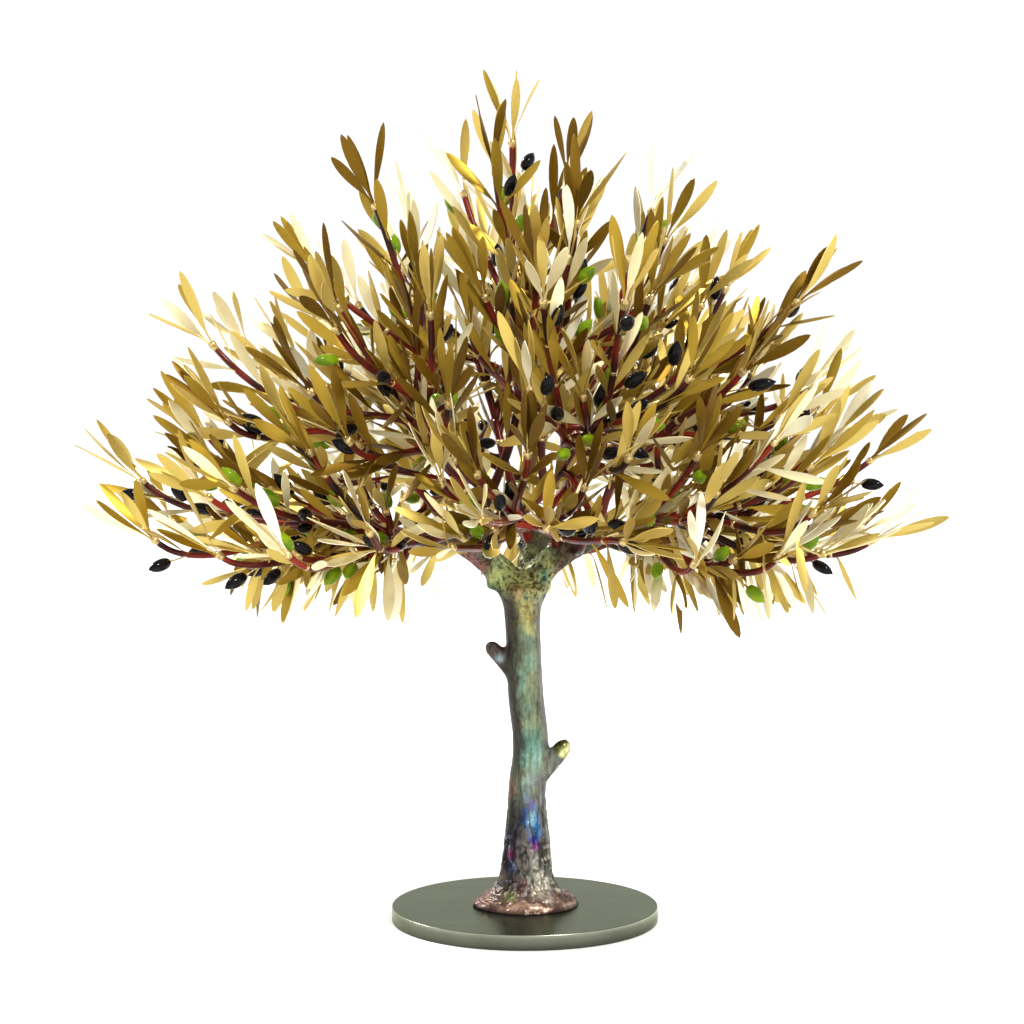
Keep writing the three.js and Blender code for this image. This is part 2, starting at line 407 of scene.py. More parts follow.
def satin_steel_with_painted_rim(settings):
    """Dark rolled steel under a satin finish: faint rolling streaks, soft cloudy tone, and painted shade and
    highlight up the plate's round side: darker near the floor, lighter going up, and a bright painted
    highlight line at the broken upper edge."""
    material = new_material("satin_steel_with_painted_rim", settings.colour, 0.8, 0.4, specular_tint=(0.66, 0.71, 0.56, 1))
    streaks = noise_of(material, 90, 5, stretch=(16, 0.4, 1))
    clouds = noise_of(material, 16, 3)
    dark, light = (tuple(c * k for c in settings.colour) for k in (0.8, 1.2))
    body = colours_along(material, clouds, [(0.3, dark), (0.7, light)])
    place = node(material, "ShaderNodeTexCoord").outputs["Object"]
    height = node(material, "ShaderNodeSeparateXYZ", {"Vector": place}).outputs["Z"]
    # Painted shade and highlight up the plate's round side, by height: darker near the floor, lighter going
    # up, and a bright painted highlight line at the broken upper edge.
    stops = [
        (0.0, (0.8, 0.8, 0.76)),
        (0.7, (2.1, 2.1, 2.0)),
        (0.92, (3.6, 3.6, 3.4)),
        (0.96, (7.0, 7.0, 6.6)),
        (1.0, (1, 1, 1)),
    ]
    rim_shade_and_highlight = colours_along(material, ranged(material, height, 0, 1, 0, PLATE_TOP), stops)
    feed(material, "Base Color", multiplied(material, body, rim_shade_and_highlight))
    feed(material, "Roughness", ranged(material, streaks, 0.2, 0.32))
    add_bump(material, streaks, 0.12, 0.1 * MM)
    return material


def multiplied(material, first, second):
    """Two colours multiplied."""
    inputs = {"Factor": 1.0, 6: first, 7: second}
    return node(material, "ShaderNodeMix", inputs, data_type="RGBA", blend_type="MULTIPLY").outputs[2]


def bronze_patina_and_painted_light():
    """Bronze under its patina: the tint, which holds the patina with painted shade and highlights, and the
    polish come with the casting's own points, and lengthwise streaks, brushmarks and fine dark pits break
    them up."""
    material = new_material(
        "bronze_patina_and_painted_light", (0.2, 0.2, 0.15), 0.4, 0.45, coat_weight=0.12, coat_roughness=0.2,
        specular_ior_level=0.25, specular_tint=(0.45, 0.45, 0.45, 1),
    )
    # The tint holds the patina with painted shade and highlights, laid on the casting's points.
    tint = node(material, "ShaderNodeAttribute", attribute_name="patina_and_painted_light").outputs["Color"]
    polish = node(material, "ShaderNodeAttribute", attribute_name="polish").outputs["Fac"]
    streaks = noise_of(material, 420, 5, stretch=(1, 1, 5))
    pits = noise_of(material, 700, 5)
    mottle = noise_of(material, 300, 5)
    strokes = [(0.3, (0.6, 0.62, 0.6)), (0.5, (1, 1, 1)), (0.7, (1.4, 1.38, 1.3))]
    brushed = colours_along(material, streaks, strokes)
    dotted = colours_along(material, pits, [(0.3, (0.4, 0.38, 0.34)), (0.38, (1, 1, 1))])
    feed(material, "Base Color", multiplied(material, multiplied(material, tint, brushed), dotted))
    dull = ranged(material, mottle, 0.3, 0.6)
    rough = node(material, "ShaderNodeMix", {"Factor": polish, 2: dull, 3: 0.22}).outputs[0]
    feed(material, "Roughness", rough)
    feed(material, "Metallic", ranged(material, polish, 0.4, 1.0))
    relief = node(material, "ShaderNodeMath", {0: streaks, 1: mottle}, operation="ADD").outputs[0]
    add_bump(material, relief, 0.5, 0.35 * MM)
    return material


def lacquered_copper(settings):
    """Copper rod under a dark lacquer that is worn through to red: near-black, oxblood and cherry run
    into each other along it, with faint bends and dents."""
    material = new_material(
        "lacquered_copper", settings.oxblood, 0.3, 0.34,
        coat_weight=0.1, coat_roughness=0.12, specular_ior_level=0.2,
    )
    stops = [(0.38, settings.dark), (0.5, settings.oxblood), (0.68, settings.cherry)]
    feed(material, "Base Color", colours_along(material, noise_of(material, 30, 3), stops))
    add_bump(material, noise_of(material, 380, 3), 0.35, 0.25 * MM)
    return material


def sheet_brass(name, colour):
    """Thin brass sheet with a satin, faintly planished surface."""
    material = new_material(name, colour, 0.78, 0.43)
    add_bump(material, noise_of(material, 60, 1), 0.05, 0.2 * MM)
    return material


def soldered_brass(settings):
    """Pale brass solder, lumpy and uneven in tone."""
    material = new_material("soldered_brass", settings.solder, 0.75, 0.34)
    stops = [(0.34, tuple(c * 0.4 for c in settings.solder)), (0.6, settings.solder)]
    feed(material, "Base Color", colours_along(material, noise_of(material, 600), stops))
    add_bump(material, noise_of(material, 800), 0.7, 0.35 * MM)
    return material


def glazed_fruit(name, colour, second, roughness):
    """A glazed olive, mottled between two close colours, that shines in small spots rather than all over."""
    material = new_material(
        name, colour, 0.0, roughness,
        coat_weight=1.0, coat_roughness=0.07, coat_ior=1.24, specular_ior_level=0.02,
    )
    stops = [(0.35, second), (0.62, colour)]
    feed(material, "Base Color", colours_along(material, noise_of(material, 170, 2), stops))
    return material


# ---------------------------------------------------------------- settings


def number(name, description, default, **more):
    """A plain number that a user may change."""
    return FloatProperty(name=name, description=description, default=default, **more)


def size(name, description, default):
    """A length in metres."""
    return number(name, description, default, min=0, unit="LENGTH", precision=5)


def angle(name, description, degrees):
    """An angle, given in degrees."""
    return number(name, description, math.radians(degrees), subtype="ANGLE")


def share(name, description, default):
    """A share from 0 to 1."""
    return number(name, description, default, min=0, max=1, subtype="FACTOR")


def colour(name, description, screen):
    """A colour, given as screen values from 0 to 255."""
    return FloatVectorProperty(
        name=name, description=description, default=srgb(*screen), subtype="COLOR", min=0, max=1
    )


def seed(description, default):
    """The start of a piece's own random numbers."""
    return IntProperty(name="Seed", description=description, default=default)


class OLIVE_PlateSettings(bpy.types.PropertyGroup):
    """Sizes and colour of the steel plate."""

    radius: size("Radius", "Radius of the round plate", PLATE_HIGH[0])
    thickness: size("Thickness", "Thickness of the plate", PLATE_TOP)
    bevel: size("Bevel", "Width of the broken edge", 0.7 * MM)
    colour: colour("Steel", "Colour of the satin steel", (72, 74, 66))


class OLIVE_CastingSettings(bpy.types.PropertyGroup):
    """Relief of the cast trunk, stubs and boughs."""

    grain: size("Mesh grain", "Size of the casting's faces", 0.77 * MM)
    foot_relief: size("Relief at the foot", "Depth of the fissures round the foot", 1.7 * MM)
    shaft_relief: size("Relief of the shaft", "Depth of the relief on the shaft and the boughs", 0.35 * MM)
    fissure: size("Fissure spacing", "Distance between fissures round the trunk", 5.6 * MM)
    pit: size("Pit size", "Size of the casting's pits", 2.1 * MM)
    skirt: size("Skirt", "How far the poured foot bulges over the plate", 2.3 * MM)
    seed: seed("Picks another relief and patina", 11)


class OLIVE_RodSettings(bpy.types.PropertyGroup):
    """Sizes, branching and colours of the copper rods."""

    leader: size("Leader radius", "Radius of the rods that leave the boughs", 3.5 * MM)
    arm: size("Arm radius", "Radius of the rods at their first parting", 2.8 * MM)
    shoot: size("Shoot radius", "Radius at the foot of the last shoots", 2.5 * MM)
    tip: size("Tip radius", "Radius at the tip of a shoot", 2.0 * MM)
    parting: size("Parting", "How far inside a spray its leader parts", 10 * MM)
    arm_share: share("Arm share", "How far to its shoots' tips an arm runs", 0.36)
    tip_room: size("Tip spacing", "Room that each shoot's tip takes on the crown", 60 * MM)
    inner: share("Inner shoots", "Short shoots inside a spray, for each one at its skin", 0.7)
    node_gap: size("Node gap", "Distance between the nodes of a shoot", 25 * MM)
    lift: share("Lift", "How strongly shoots turn up towards their tips", 0.72)
    dark: colour("Dark", "Near-black lacquer", (36, 14, 12))
    oxblood: colour("Oxblood", "Dark red lacquer", (82, 24, 15))
    cherry: colour("Cherry", "Bright red lacquer", (136, 36, 18))
    seed: seed("Grows another tree", 5)


class OLIVE_LeafSettings(bpy.types.PropertyGroup):
    """Sizes and tints of the brass leaves."""

    length: size("Length", "From the foot of the stalk to the tip", 46 * MM)
    width: size("Width", "Width of the blade", 6.6 * MM)
    stalk: size("Stalk width", "Width of the stalk", 1.2 * MM)
    sheet: size("Sheet", "Thickness of the brass sheet", 0.5 * MM)
    cup: size("Cup", "Depth of the blade's hollow", 0.45 * MM)
    tip_spread: angle("Spread at the tip", "Angle of the last leaves from the rod", 20)
    node_spread: angle("Spread at the nodes", "Angle of the other leaves from the rod", 34)
    proud: size("Proud", "How far a leaf may stand out of the crown's solids", 5 * MM)
    champagne: colour("Champagne", "Palest tint", (255, 250, 222))
    pale_gold: colour("Pale gold", "Light tint", (246, 234, 188))
    old_gold: colour("Old gold", "Middle tint", (206, 180, 94))
    olive_gold: colour("Olive gold", "Deep tint", (166, 136, 44))
    brown_gold: colour("Brown gold", "Darkest tint", (116, 86, 12))
    solder: colour("Solder", "Brass solder at the nodes", (226, 198, 134))
    seed: seed("Sets the leaves another way", 23)


class OLIVE_OliveSettings(bpy.types.PropertyGroup):
    """Sizes and colours of the olives."""

    length: size("Length", "Length of an olive", 17 * MM)
    radius: size("Radius", "Radius of an olive", 4.3 * MM)
    stalk: size("Stalk length", "Length of the wire that holds an olive", 13 * MM)
    wire: size("Wire radius", "Radius of the stalk's wire", 0.5 * MM)
    often: share("How often", "Share of the outer nodes that hold an olive", 0.56)
    ripe: share("Ripe", "Share of the olives that are black", 0.58)
    black: colour("Black", "Ripe olive", (7, 6, 9))
    green: colour("Green", "Unripe olive", (124, 148, 14))
    seed: seed("Hangs the olives elsewhere", 31)


class OLIVE_StageSettings(bpy.types.PropertyGroup):
    """The floor, the lights and the camera."""

    floor: colour("Floor", "Colour of the plain floor", (252, 252, 250))
    key: number("Key light", "Strength of the light from the front right", 2.7)
    back: number("Back light", "Strength of the light from behind, at the left", 2.7)
    horizon: number("Horizon", "Brightness of the room at eye level", 1.05)
    ceiling: number("Ceiling", "Brightness of the room overhead", 0.55)
    softness: angle("Softness", "Width of each light, seen from the tree", 7)
    lens: number("Lens", "Focal length on a 36 mm sensor, in mm", 73.1)
    distance: size("Camera distance", "From the camera to the tree", 1.4)
    height: size("Camera height", "Height of the lens above the floor", 0.3264)
    aim: size("Aim height", "Height that the camera looks at", 0.2759)
    aside: number("Aside", "How far right of the tree the camera looks", -8.7 * MM, unit="LENGTH")


# ---------------------------------------------------------------- growth


def spray_solid(name):
    """What one spray's solid and its rod say: the rod's start and end, its direction at the end, and the
    solid's triangles with the area of each that faces away from the fork, or 0."""
    corners = triangles("leaves_" + name)
    middles, normals, areas = faces_of(corners)
    rod_middles, rod_normals, rod_areas = faces_of(triangles("rod_" + name))
    heart = np.average(middles, axis=0, weights=areas)
    towards = unit(heart - rod_middles.mean(0))
    reach = rod_middles @ towards
    cap = (rod_normals @ towards > 0.7) & (reach > reach.max() - 2 * MM)
    end = np.average(rod_middles[cap], axis=0, weights=rod_areas[cap])
    way = unit((rod_normals[cap] * rod_areas[cap][:, None]).sum(0))
    far = np.linalg.norm(rod_middles - end, axis=1)
    start = rod_middles[far > far.max() - 3 * MM].mean(0)
    outer = areas * ((normals * unit(middles - FORK)).sum(1) > 0.28)
    return {"name": name, "start": start, "end": end, "way": way, "corners": corners, "outer": outer}


def beside_fork(points):
    """How far to the side of the fork's middle points lie."""
    return np.abs(points[..., 0] - FORK[0] - 6 * MM)


def hides_fork(points):
    """Whether points hang in front of the fork, which stays in sight: nearer than it, within its width
    and below its crotch."""
    aside = beside_fork(points) < 44 * MM
    ceiling = FORK[2] + 20 * MM - 0.06 * points[..., 1]
    return aside & (points[..., 1] < FORK[1] + 12 * MM) & (points[..., 2] < ceiling)


def rod_floor(points):
    """How low rods may run at these places: a little above the fork, and highest in front of it."""
    front = smooth_step(4 * MM, 26 * MM, FORK[1] - points[..., 1])
    front = front * (1 - smooth_step(46 * MM, 92 * MM, beside_fork(points)))
    return FORK[2] + 9 * MM + 15 * MM * front - 0.06 * points[..., 1] * front


def cleared(points, above):
    """Points of rods lifted where they would run low, by a soft maximum of their height and a height
    above the floor."""
    soft = 4 * MM
    lifted = points.copy()
    lifted[..., 2] += soft * np.logaddexp(0, (rod_floor(points) + above - points[..., 2]) / soft)
    return lifted


def skin_goals(spray, room, rng):
    """Four to ten points spread evenly over a spray's outer skin, one for each room squared of it: each
    next one is, of some hundreds dealt at random over the triangles, the farthest from those picked."""
    corners, outer, dealt = spray["corners"], spray["outer"], 400
    picked = rng.choice(len(corners), dealt, p=outer / outer.sum())
    first, second = rng.uniform(0, 1, (2, dealt, 1))
    over = first + second > 1
    first, second = np.where(over, 1 - first, first), np.where(over, 1 - second, second)
    a, b, c = corners[picked].transpose(1, 0, 2)
    skin = a + (b - a) * first + (c - a) * second
    skin = skin[~hides_fork(skin)]
    count = int(np.clip(round(outer.sum() / room**2), 4, 10))
    chosen = [int(np.linalg.norm(skin - FORK, axis=1).argmax())]
    nearest = np.linalg.norm(skin - skin[chosen[0]], axis=1)
    for _ in range(count - 1):
        chosen.append(int(nearest.argmax()))
        nearest = np.minimum(nearest, np.linalg.norm(skin - skin[chosen[-1]], axis=1))
    return skin[chosen]


# Points along a rod's path, points round a rod, a wire and an olive, and the most nodes on one rod.
ROD_STEPS = 26
ROD_SIDES, WIRE_SIDES, OLIVE_SIDES = 8, 6, 12
MOST_NODES = 14


def rod(path, bare, tip, first, last):
    """A rod: its path, how far along it is bare of nodes, whether it ends in a tip, and its radius at
    both ends."""
    return {"path": path, "from": bare, "tip": tip, "radius": (first, last)}


def shoot_from(bearer_path, back, tip, heading, settings):
    """A shoot that leaves a rod some way before its end and curves to a tip, where it takes a heading."""
    starts, ways = reached(bearer_path, np.array([max(path_length(bearer_path) - back, 0)]))
    span = np.linalg.norm(tip - starts[0])
    leave = unit(ways[0] + 0.55 * unit(tip - starts[0]))
    path = bezier(starts[0], leave * span * 0.34, heading * span * 0.4, tip, ROD_STEPS)
    return rod(path, 0.0, True, settings.shoot, settings.tip)


def grow_spray(spray, settings, leaf_length, rng):
    """The rods of one spray by the branching rule: a leader from the bough parts into two or three arms,
    each arm into shoots that curve up and out to tips spread evenly under the spray's outer skin, and
    shorter shoots fill its inside. Returns the rods."""
    goals = skin_goals(spray, settings.tip_room, rng)
    count = len(goals)
    parting = spray["end"] + spray["way"] * settings.parting
    parting[2] = max(parting[2], rod_floor(parting) + 14 * MM)
    straight = unit(goals - parting)
    steepness = np.clip(1 - straight[:, 2:], 0, 1)
    headings = straight + UP * settings.lift * steepness * rng.uniform(0.6, 1.4, (count, 1))
    headings[:, 2] = np.maximum(headings[:, 2], -0.02)
    headings = unit(headings)
    tips = goals - headings * leaf_length * 1.05
    lowest = FORK[2] + 14 * MM + 0.06 * np.linalg.norm(tips[:, :2] - FORK[:2], axis=1)
    tips[:, 2] = np.maximum(tips[:, 2], lowest)

    lead = 0.4 * np.linalg.norm(parting - spray["start"])
    set_off = unit(spray["end"] - spray["start"])
    root = spray["start"] - set_off * 2 * settings.leader
    leader = bezier(root, set_off * lead, spray["way"] * lead, parting, ROD_STEPS)
    bearers = [rod(leader, 0.55 * path_length(leader), False, settings.leader, settings.arm)]
    spread = np.linalg.svd(tips - tips.mean(0))[2][0]
    order = np.argsort((tips - tips.mean(0)) @ spread)
    arms = []
    for group in np.array_split(order, 2 if count < 6 else 3):
        reach = tips[group].mean(0) - parting
        length = np.linalg.norm(reach) * settings.arm_share * rng.uniform(0.85, 1.15)
        to_goal = unit(reach)
        leave = unit(spray["way"] + 0.8 * to_goal)
        end = parting + to_goal * length
        arm = bezier(parting, leave * length / 3, to_goal * length / 3, end, ROD_STEPS)
        arms.append(arm)
        bearers.append(rod(arm, 0.2 * length, False, settings.arm, settings.shoot * 1.08))
        for place, index in enumerate(group):
            back = 0.0 if place == 0 else length * rng.uniform(0.15, 0.6)
            bearers.append(shoot_from(arm, back, tips[index], headings[index], settings))
    for _ in range(round(count * settings.inner)):
        mother = (leader, *arms)[rng.integers(0, len(arms) + 1)]
        goal = FORK + (goals[rng.integers(0, count)] - FORK) * rng.uniform(0.52, 0.82)
        goal = goal + rng.normal(0, 14 * MM, 3)
        back = path_length(mother) * rng.uniform(0.05, 0.45)
        heading = unit(goal - FORK) + UP * settings.lift * rng.uniform(0.3, 1.2) + rng.normal(0, 0.22, 3)
        heading = unit(heading)
        tip = goal - heading * leaf_length * 0.6
        if not hides_fork(tip) and tip[2] > FORK[2] + 18 * MM:
            bearers.append(shoot_from(mother, back, tip, heading, settings))
    for bearer in bearers:
        bearer["spray"] = SPRAYS.index(spray["name"])
        bearer["path"] = cleared(bearer["path"], rng.uniform(0, 15 * MM))
    return bearers


def grow(scene):
    """The whole crown: every rod's path, radii and spray, and every node, from the tips inwards: its
    place, the rod's direction and radius there, its spray, its order from the tip and its shoot."""
    settings, leaves = scene.olive_rods, scene.olive_leaves
    rng = np.random.default_rng(settings.seed)
    rods, nodes = [], []
    for name in SPRAYS:
        for bearer in grow_spray(spray_solid(name), settings, leaves.length, rng):
            length = path_length(bearer["path"])
            gaps = settings.node_gap * rng.uniform(0.8, 1.2, MOST_NODES)
            marks = np.cumsum(gaps) - (gaps[0] if bearer["tip"] else 0.4 * gaps[0])
            marks = marks[marks < length - bearer["from"] - 5 * MM]
            places, ways = reached(bearer["path"], length - marks)
            first, last = bearer["radius"]
            radii = last + (first - last) * marks / length
            for order, (place, way, radius) in enumerate(zip(places, ways, radii)):
                depth = order if bearer["tip"] else order + 5
                nodes.append((place, way, radius, bearer["spray"], depth, len(rods)))
            rods.append((bearer["path"], bearer["radius"], bearer["spray"]))
    columns = [np.array(column) for column in zip(*nodes)]
    return rods, dict(zip(("place", "way", "radius", "spray", "order", "shoot"), columns))


def proudness(points):
    """How far points stand out of the sprays' solids in metres, below zero inside: for each solid the
    farthest that a point is in front of any of its faces, and of these the least."""
    least = np.full(len(points), np.inf)
    for name in SPRAYS:
        middles, normals, _ = faces_of(triangles("leaves_" + name))
        least = np.minimum(least, (points @ normals.T - (middles * normals).sum(1)).max(1))
    return least


def whorls(nodes, counts, rng):
    """One entry for each leaf or stalk: the index of its node, and the direction square to the rod in
    which it stands off, spaced evenly round the node with a little play."""
    index = np.repeat(np.arange(len(counts)), counts)
    first = np.repeat(np.cumsum(counts) - counts, counts)
    turn = rng.uniform(0, 2 * np.pi, len(counts))[index]
    turn += 2 * np.pi * (np.arange(len(index)) - first) / counts[index] + rng.normal(0, 0.22, len(index))
    way = nodes["way"][index]
    side = unit(np.cross(way, least_along(way)))
    off = side * np.cos(turn)[:, None] + np.cross(way, side) * np.sin(turn)[:, None]
    return index, off


# ---------------------------------------------------------------- operators


class OLIVE_OT_plate(bpy.types.Operator):
    """Turn the steel plate: a lathe profile with broken edges, carried round the upright axis."""

    bl_idname = "olive_tree.plate"
    bl_label = "Steel Plate"

    def execute(self, context):
        settings = context.scene.olive_plate
        radius, top, bevel = settings.radius, settings.thickness, settings.bevel
        arc = np.linspace(0, np.pi / 2, 5)
        edge_low = np.stack([radius - bevel + bevel * np.sin(arc), bevel - bevel * np.cos(arc)], -1)
        edge_high = np.stack([radius - bevel + bevel * np.cos(arc), top - bevel + bevel * np.sin(arc)], -1)
        rows = np.linspace(0.02, 0.99, 7)[:, None] * [radius - bevel, 0]
        profile = np.concatenate([rows, edge_low, edge_high, rows[::-1] + [0, top]])
        sides = 256
        round_rim = profile[:, None, :1] * np.stack(circle(sides), -1)
        levels = np.broadcast_to(profile[:, None, 1:], (len(profile), sides, 1))
        points = np.concatenate([round_rim, levels], -1).reshape(-1, 3)
        faces = tube_faces(1, len(profile), sides)
        piece = new_piece("steel_plate", points, faces, [satin_steel_with_painted_rim(settings)], crease=math.radians(50))
        keep(piece, ["plate"])
        return {"FINISHED"}


def fused_skin(grain):
    """One closed skin round the trunk, stubs and boughs: copies of their solids, each grown a little to
    close the gaps between them, and remeshed together."""
    merged = bmesh.new()
    for name in CASTING:
        merged.from_mesh(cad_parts[name].data)
    bmesh.ops.remove_doubles(merged, verts=merged.verts, dist=0.01 * MM)
    bmesh.ops.recalc_face_normals(merged, faces=merged.faces)
    merged.normal_update()
    overlap = 0.35 * MM
    for vert in merged.verts:
        vert.co += vert.normal * overlap
    mesh = bpy.data.meshes.new("fused_skin")
    merged.to_mesh(mesh)
    merged.free()
    raw = placed("fused_skin", mesh)
    remesh = raw.modifiers.new("fuse", "REMESH")
    remesh.mode = "VOXEL"
    remesh.voxel_size = grain
    done = bpy.data.meshes.new_from_object(raw.evaluated_get(bpy.context.evaluated_depsgraph_get()))
    bpy.data.objects.remove(raw)
    return done


def relaxed(points, edges, rounds, pull=0.5, push=-0.52, share=1.0):
    """Points eased towards the mean of their neighbours and back again by a little more, which rounds
    off corners without shrinking the whole. The share says how far each point takes part."""
    ends = np.concatenate([edges, edges[:, ::-1]])
    number = np.bincount(ends[:, 0], minlength=len(points))[:, None]
    for turn in range(2 * rounds):
        total = np.stack([np.bincount(ends[:, 0], points[ends[:, 1], a], len(points)) for a in range(3)], -1)
        points = points + (push if turn % 2 else pull) * share * (total / number - points)
    return points


def rounded_foot(points):
    """The foot with its root lobes drawn in to a round flange: each point goes out or in by the lobe at
    its bearing, the less the higher it is."""
    lowest = triangles("trunk").reshape(-1, 3)
    ring = lowest[lowest[:, 2] < LEVELS[0] + 0.01 * MM][:, :2] - MIDDLES[0]
    ring = ring[np.linalg.norm(ring, axis=1) > 0.5 * RADII[0]]
    bearing = np.arctan2(ring[:, 1], ring[:, 0])
    order = np.argsort(bearing)
    lobe = np.linalg.norm(ring, axis=1)[order] / RADII[0]
    away = points[:, :2] - MIDDLES[0]
    own = np.interp(np.arctan2(away[:, 1], away[:, 0]), bearing[order], lobe, period=2 * np.pi)
    drawn_in = 0.8 * (1 - smooth_step(0.03, 0.12, up_trunk(points)))
    rounded = points.copy()
    rounded[:, :2] = MIDDLES[0] + away * (own**-drawn_in)[:, None]
    return rounded


def cast_relief(points, settings):
    """The casting's relief in metres outwards, how deep in it each point lies from 0 to 1, and where the
    hairline cracks run. Fissures and hairlines follow the lines where lengthwise noise crosses its middle
    value, lumps are broad noise, pits are the peaks of a fine noise and deepest at the fork, and the
    poured skirt is a bell of height round the foot, with folds, crumbs and a hollow over it."""
    height = up_trunk(points)
    near_foot = bump_at(height, 0.17, 0.2)
    near_fork = bump_at(height, 1.03, 0.09)
    lumps = fractal(points, 10 * MM, settings.seed, 3, stretch=(1, 1, 2)) - 0.5
    lengthwise = fractal(points, settings.fissure, settings.seed + 7, 3, stretch=(1, 1, 5.5))
    fissures = 1 - smooth_step(0.0, 0.075, np.abs(lengthwise - 0.5))
    threads = fractal(points, 7 * MM, settings.seed + 9, 3, stretch=(1, 1, 2.5))
    hairlines = 1 - smooth_step(0.0, 0.03, np.abs(threads - 0.5))
    pits = smooth_step(0.58, 0.7, fractal(points, settings.pit, settings.seed + 19, 2))
    pits = pits * (0.2 + 0.8 * np.maximum(0.6 * near_foot, near_fork))
    ripple = fractal(points, 2.6 * MM, settings.seed + 23, 2, stretch=(1, 1, 4)) - 0.5
    sunk = np.clip(fissures * (0.2 + 0.8 * near_foot) + 0.9 * pits, 0, 1)
    depth = settings.shaft_relief + (settings.foot_relief - settings.shaft_relief) * near_foot

    uneven = 0.5 + fractal(points, 8 * MM, settings.seed + 29, 2)
    folds = fractal(points, 5 * MM, settings.seed + 31, 2, stretch=(2.2, 2.2, 0.5)) - 0.5
    crumbs = fractal(points, 2.0 * MM, settings.seed + 33, 2) - 0.5
    skirt = bump_at(height, 0.012, 0.021) * uneven + 1.5 * folds * bump_at(height, 0.03, 0.03)
    skirt = settings.skirt * (skirt - 0.8 * bump_at(height, 0.085, 0.05))
    skirt = skirt + 1.1 * MM * crumbs * bump_at(height, 0.03, 0.05)
    sunk = sunk * smooth_step(0.02, 0.07, height)
    poured = 1 - 0.6 * (1 - smooth_step(0.03, 0.08, height))
    relief = depth * (1.3 * lumps - sunk) + 0.9 * settings.shaft_relief * ripple
    return relief * poured + skirt - 0.8 * MM * pits * near_fork, sunk, hairlines


def casting_lumps():
    """Lumps that stand out of the casting: where, how wide and how high in mm."""
    return [
        (inside("bough_left", 0.62, 0.4, 0.0) + UP * 5 * MM, 4.5, 4.2),
        (inside("bough_left", 0.3, 0.4, 0.9), 6, 1.2),
        (inside("stub_left", 0.25, 0.5, 0.7), 12, -0.6),
        (on_trunk(1.03, -60), 5, 1.6),
        (on_trunk(1.0, -20), 5, 1.0),
        (on_trunk(0.98, -110), 5, 1.0),
        (on_trunk(0.24, -100), 5, 1.0),
        (on_trunk(0.3, 100), 8, 0.9),
        (on_trunk(0.62, 60), 7, 0.7),
    ]


def tone(*screen):
    """A colour given as screen values, as an array that tints can be mixed from."""
    return np.array(srgb(*screen))


def laid_over(tints, over, cover):
    """Tints with another laid over them, as strongly at each point as cover says from 0 to 1."""
    return tints + (over - tints) * cover[:, None]


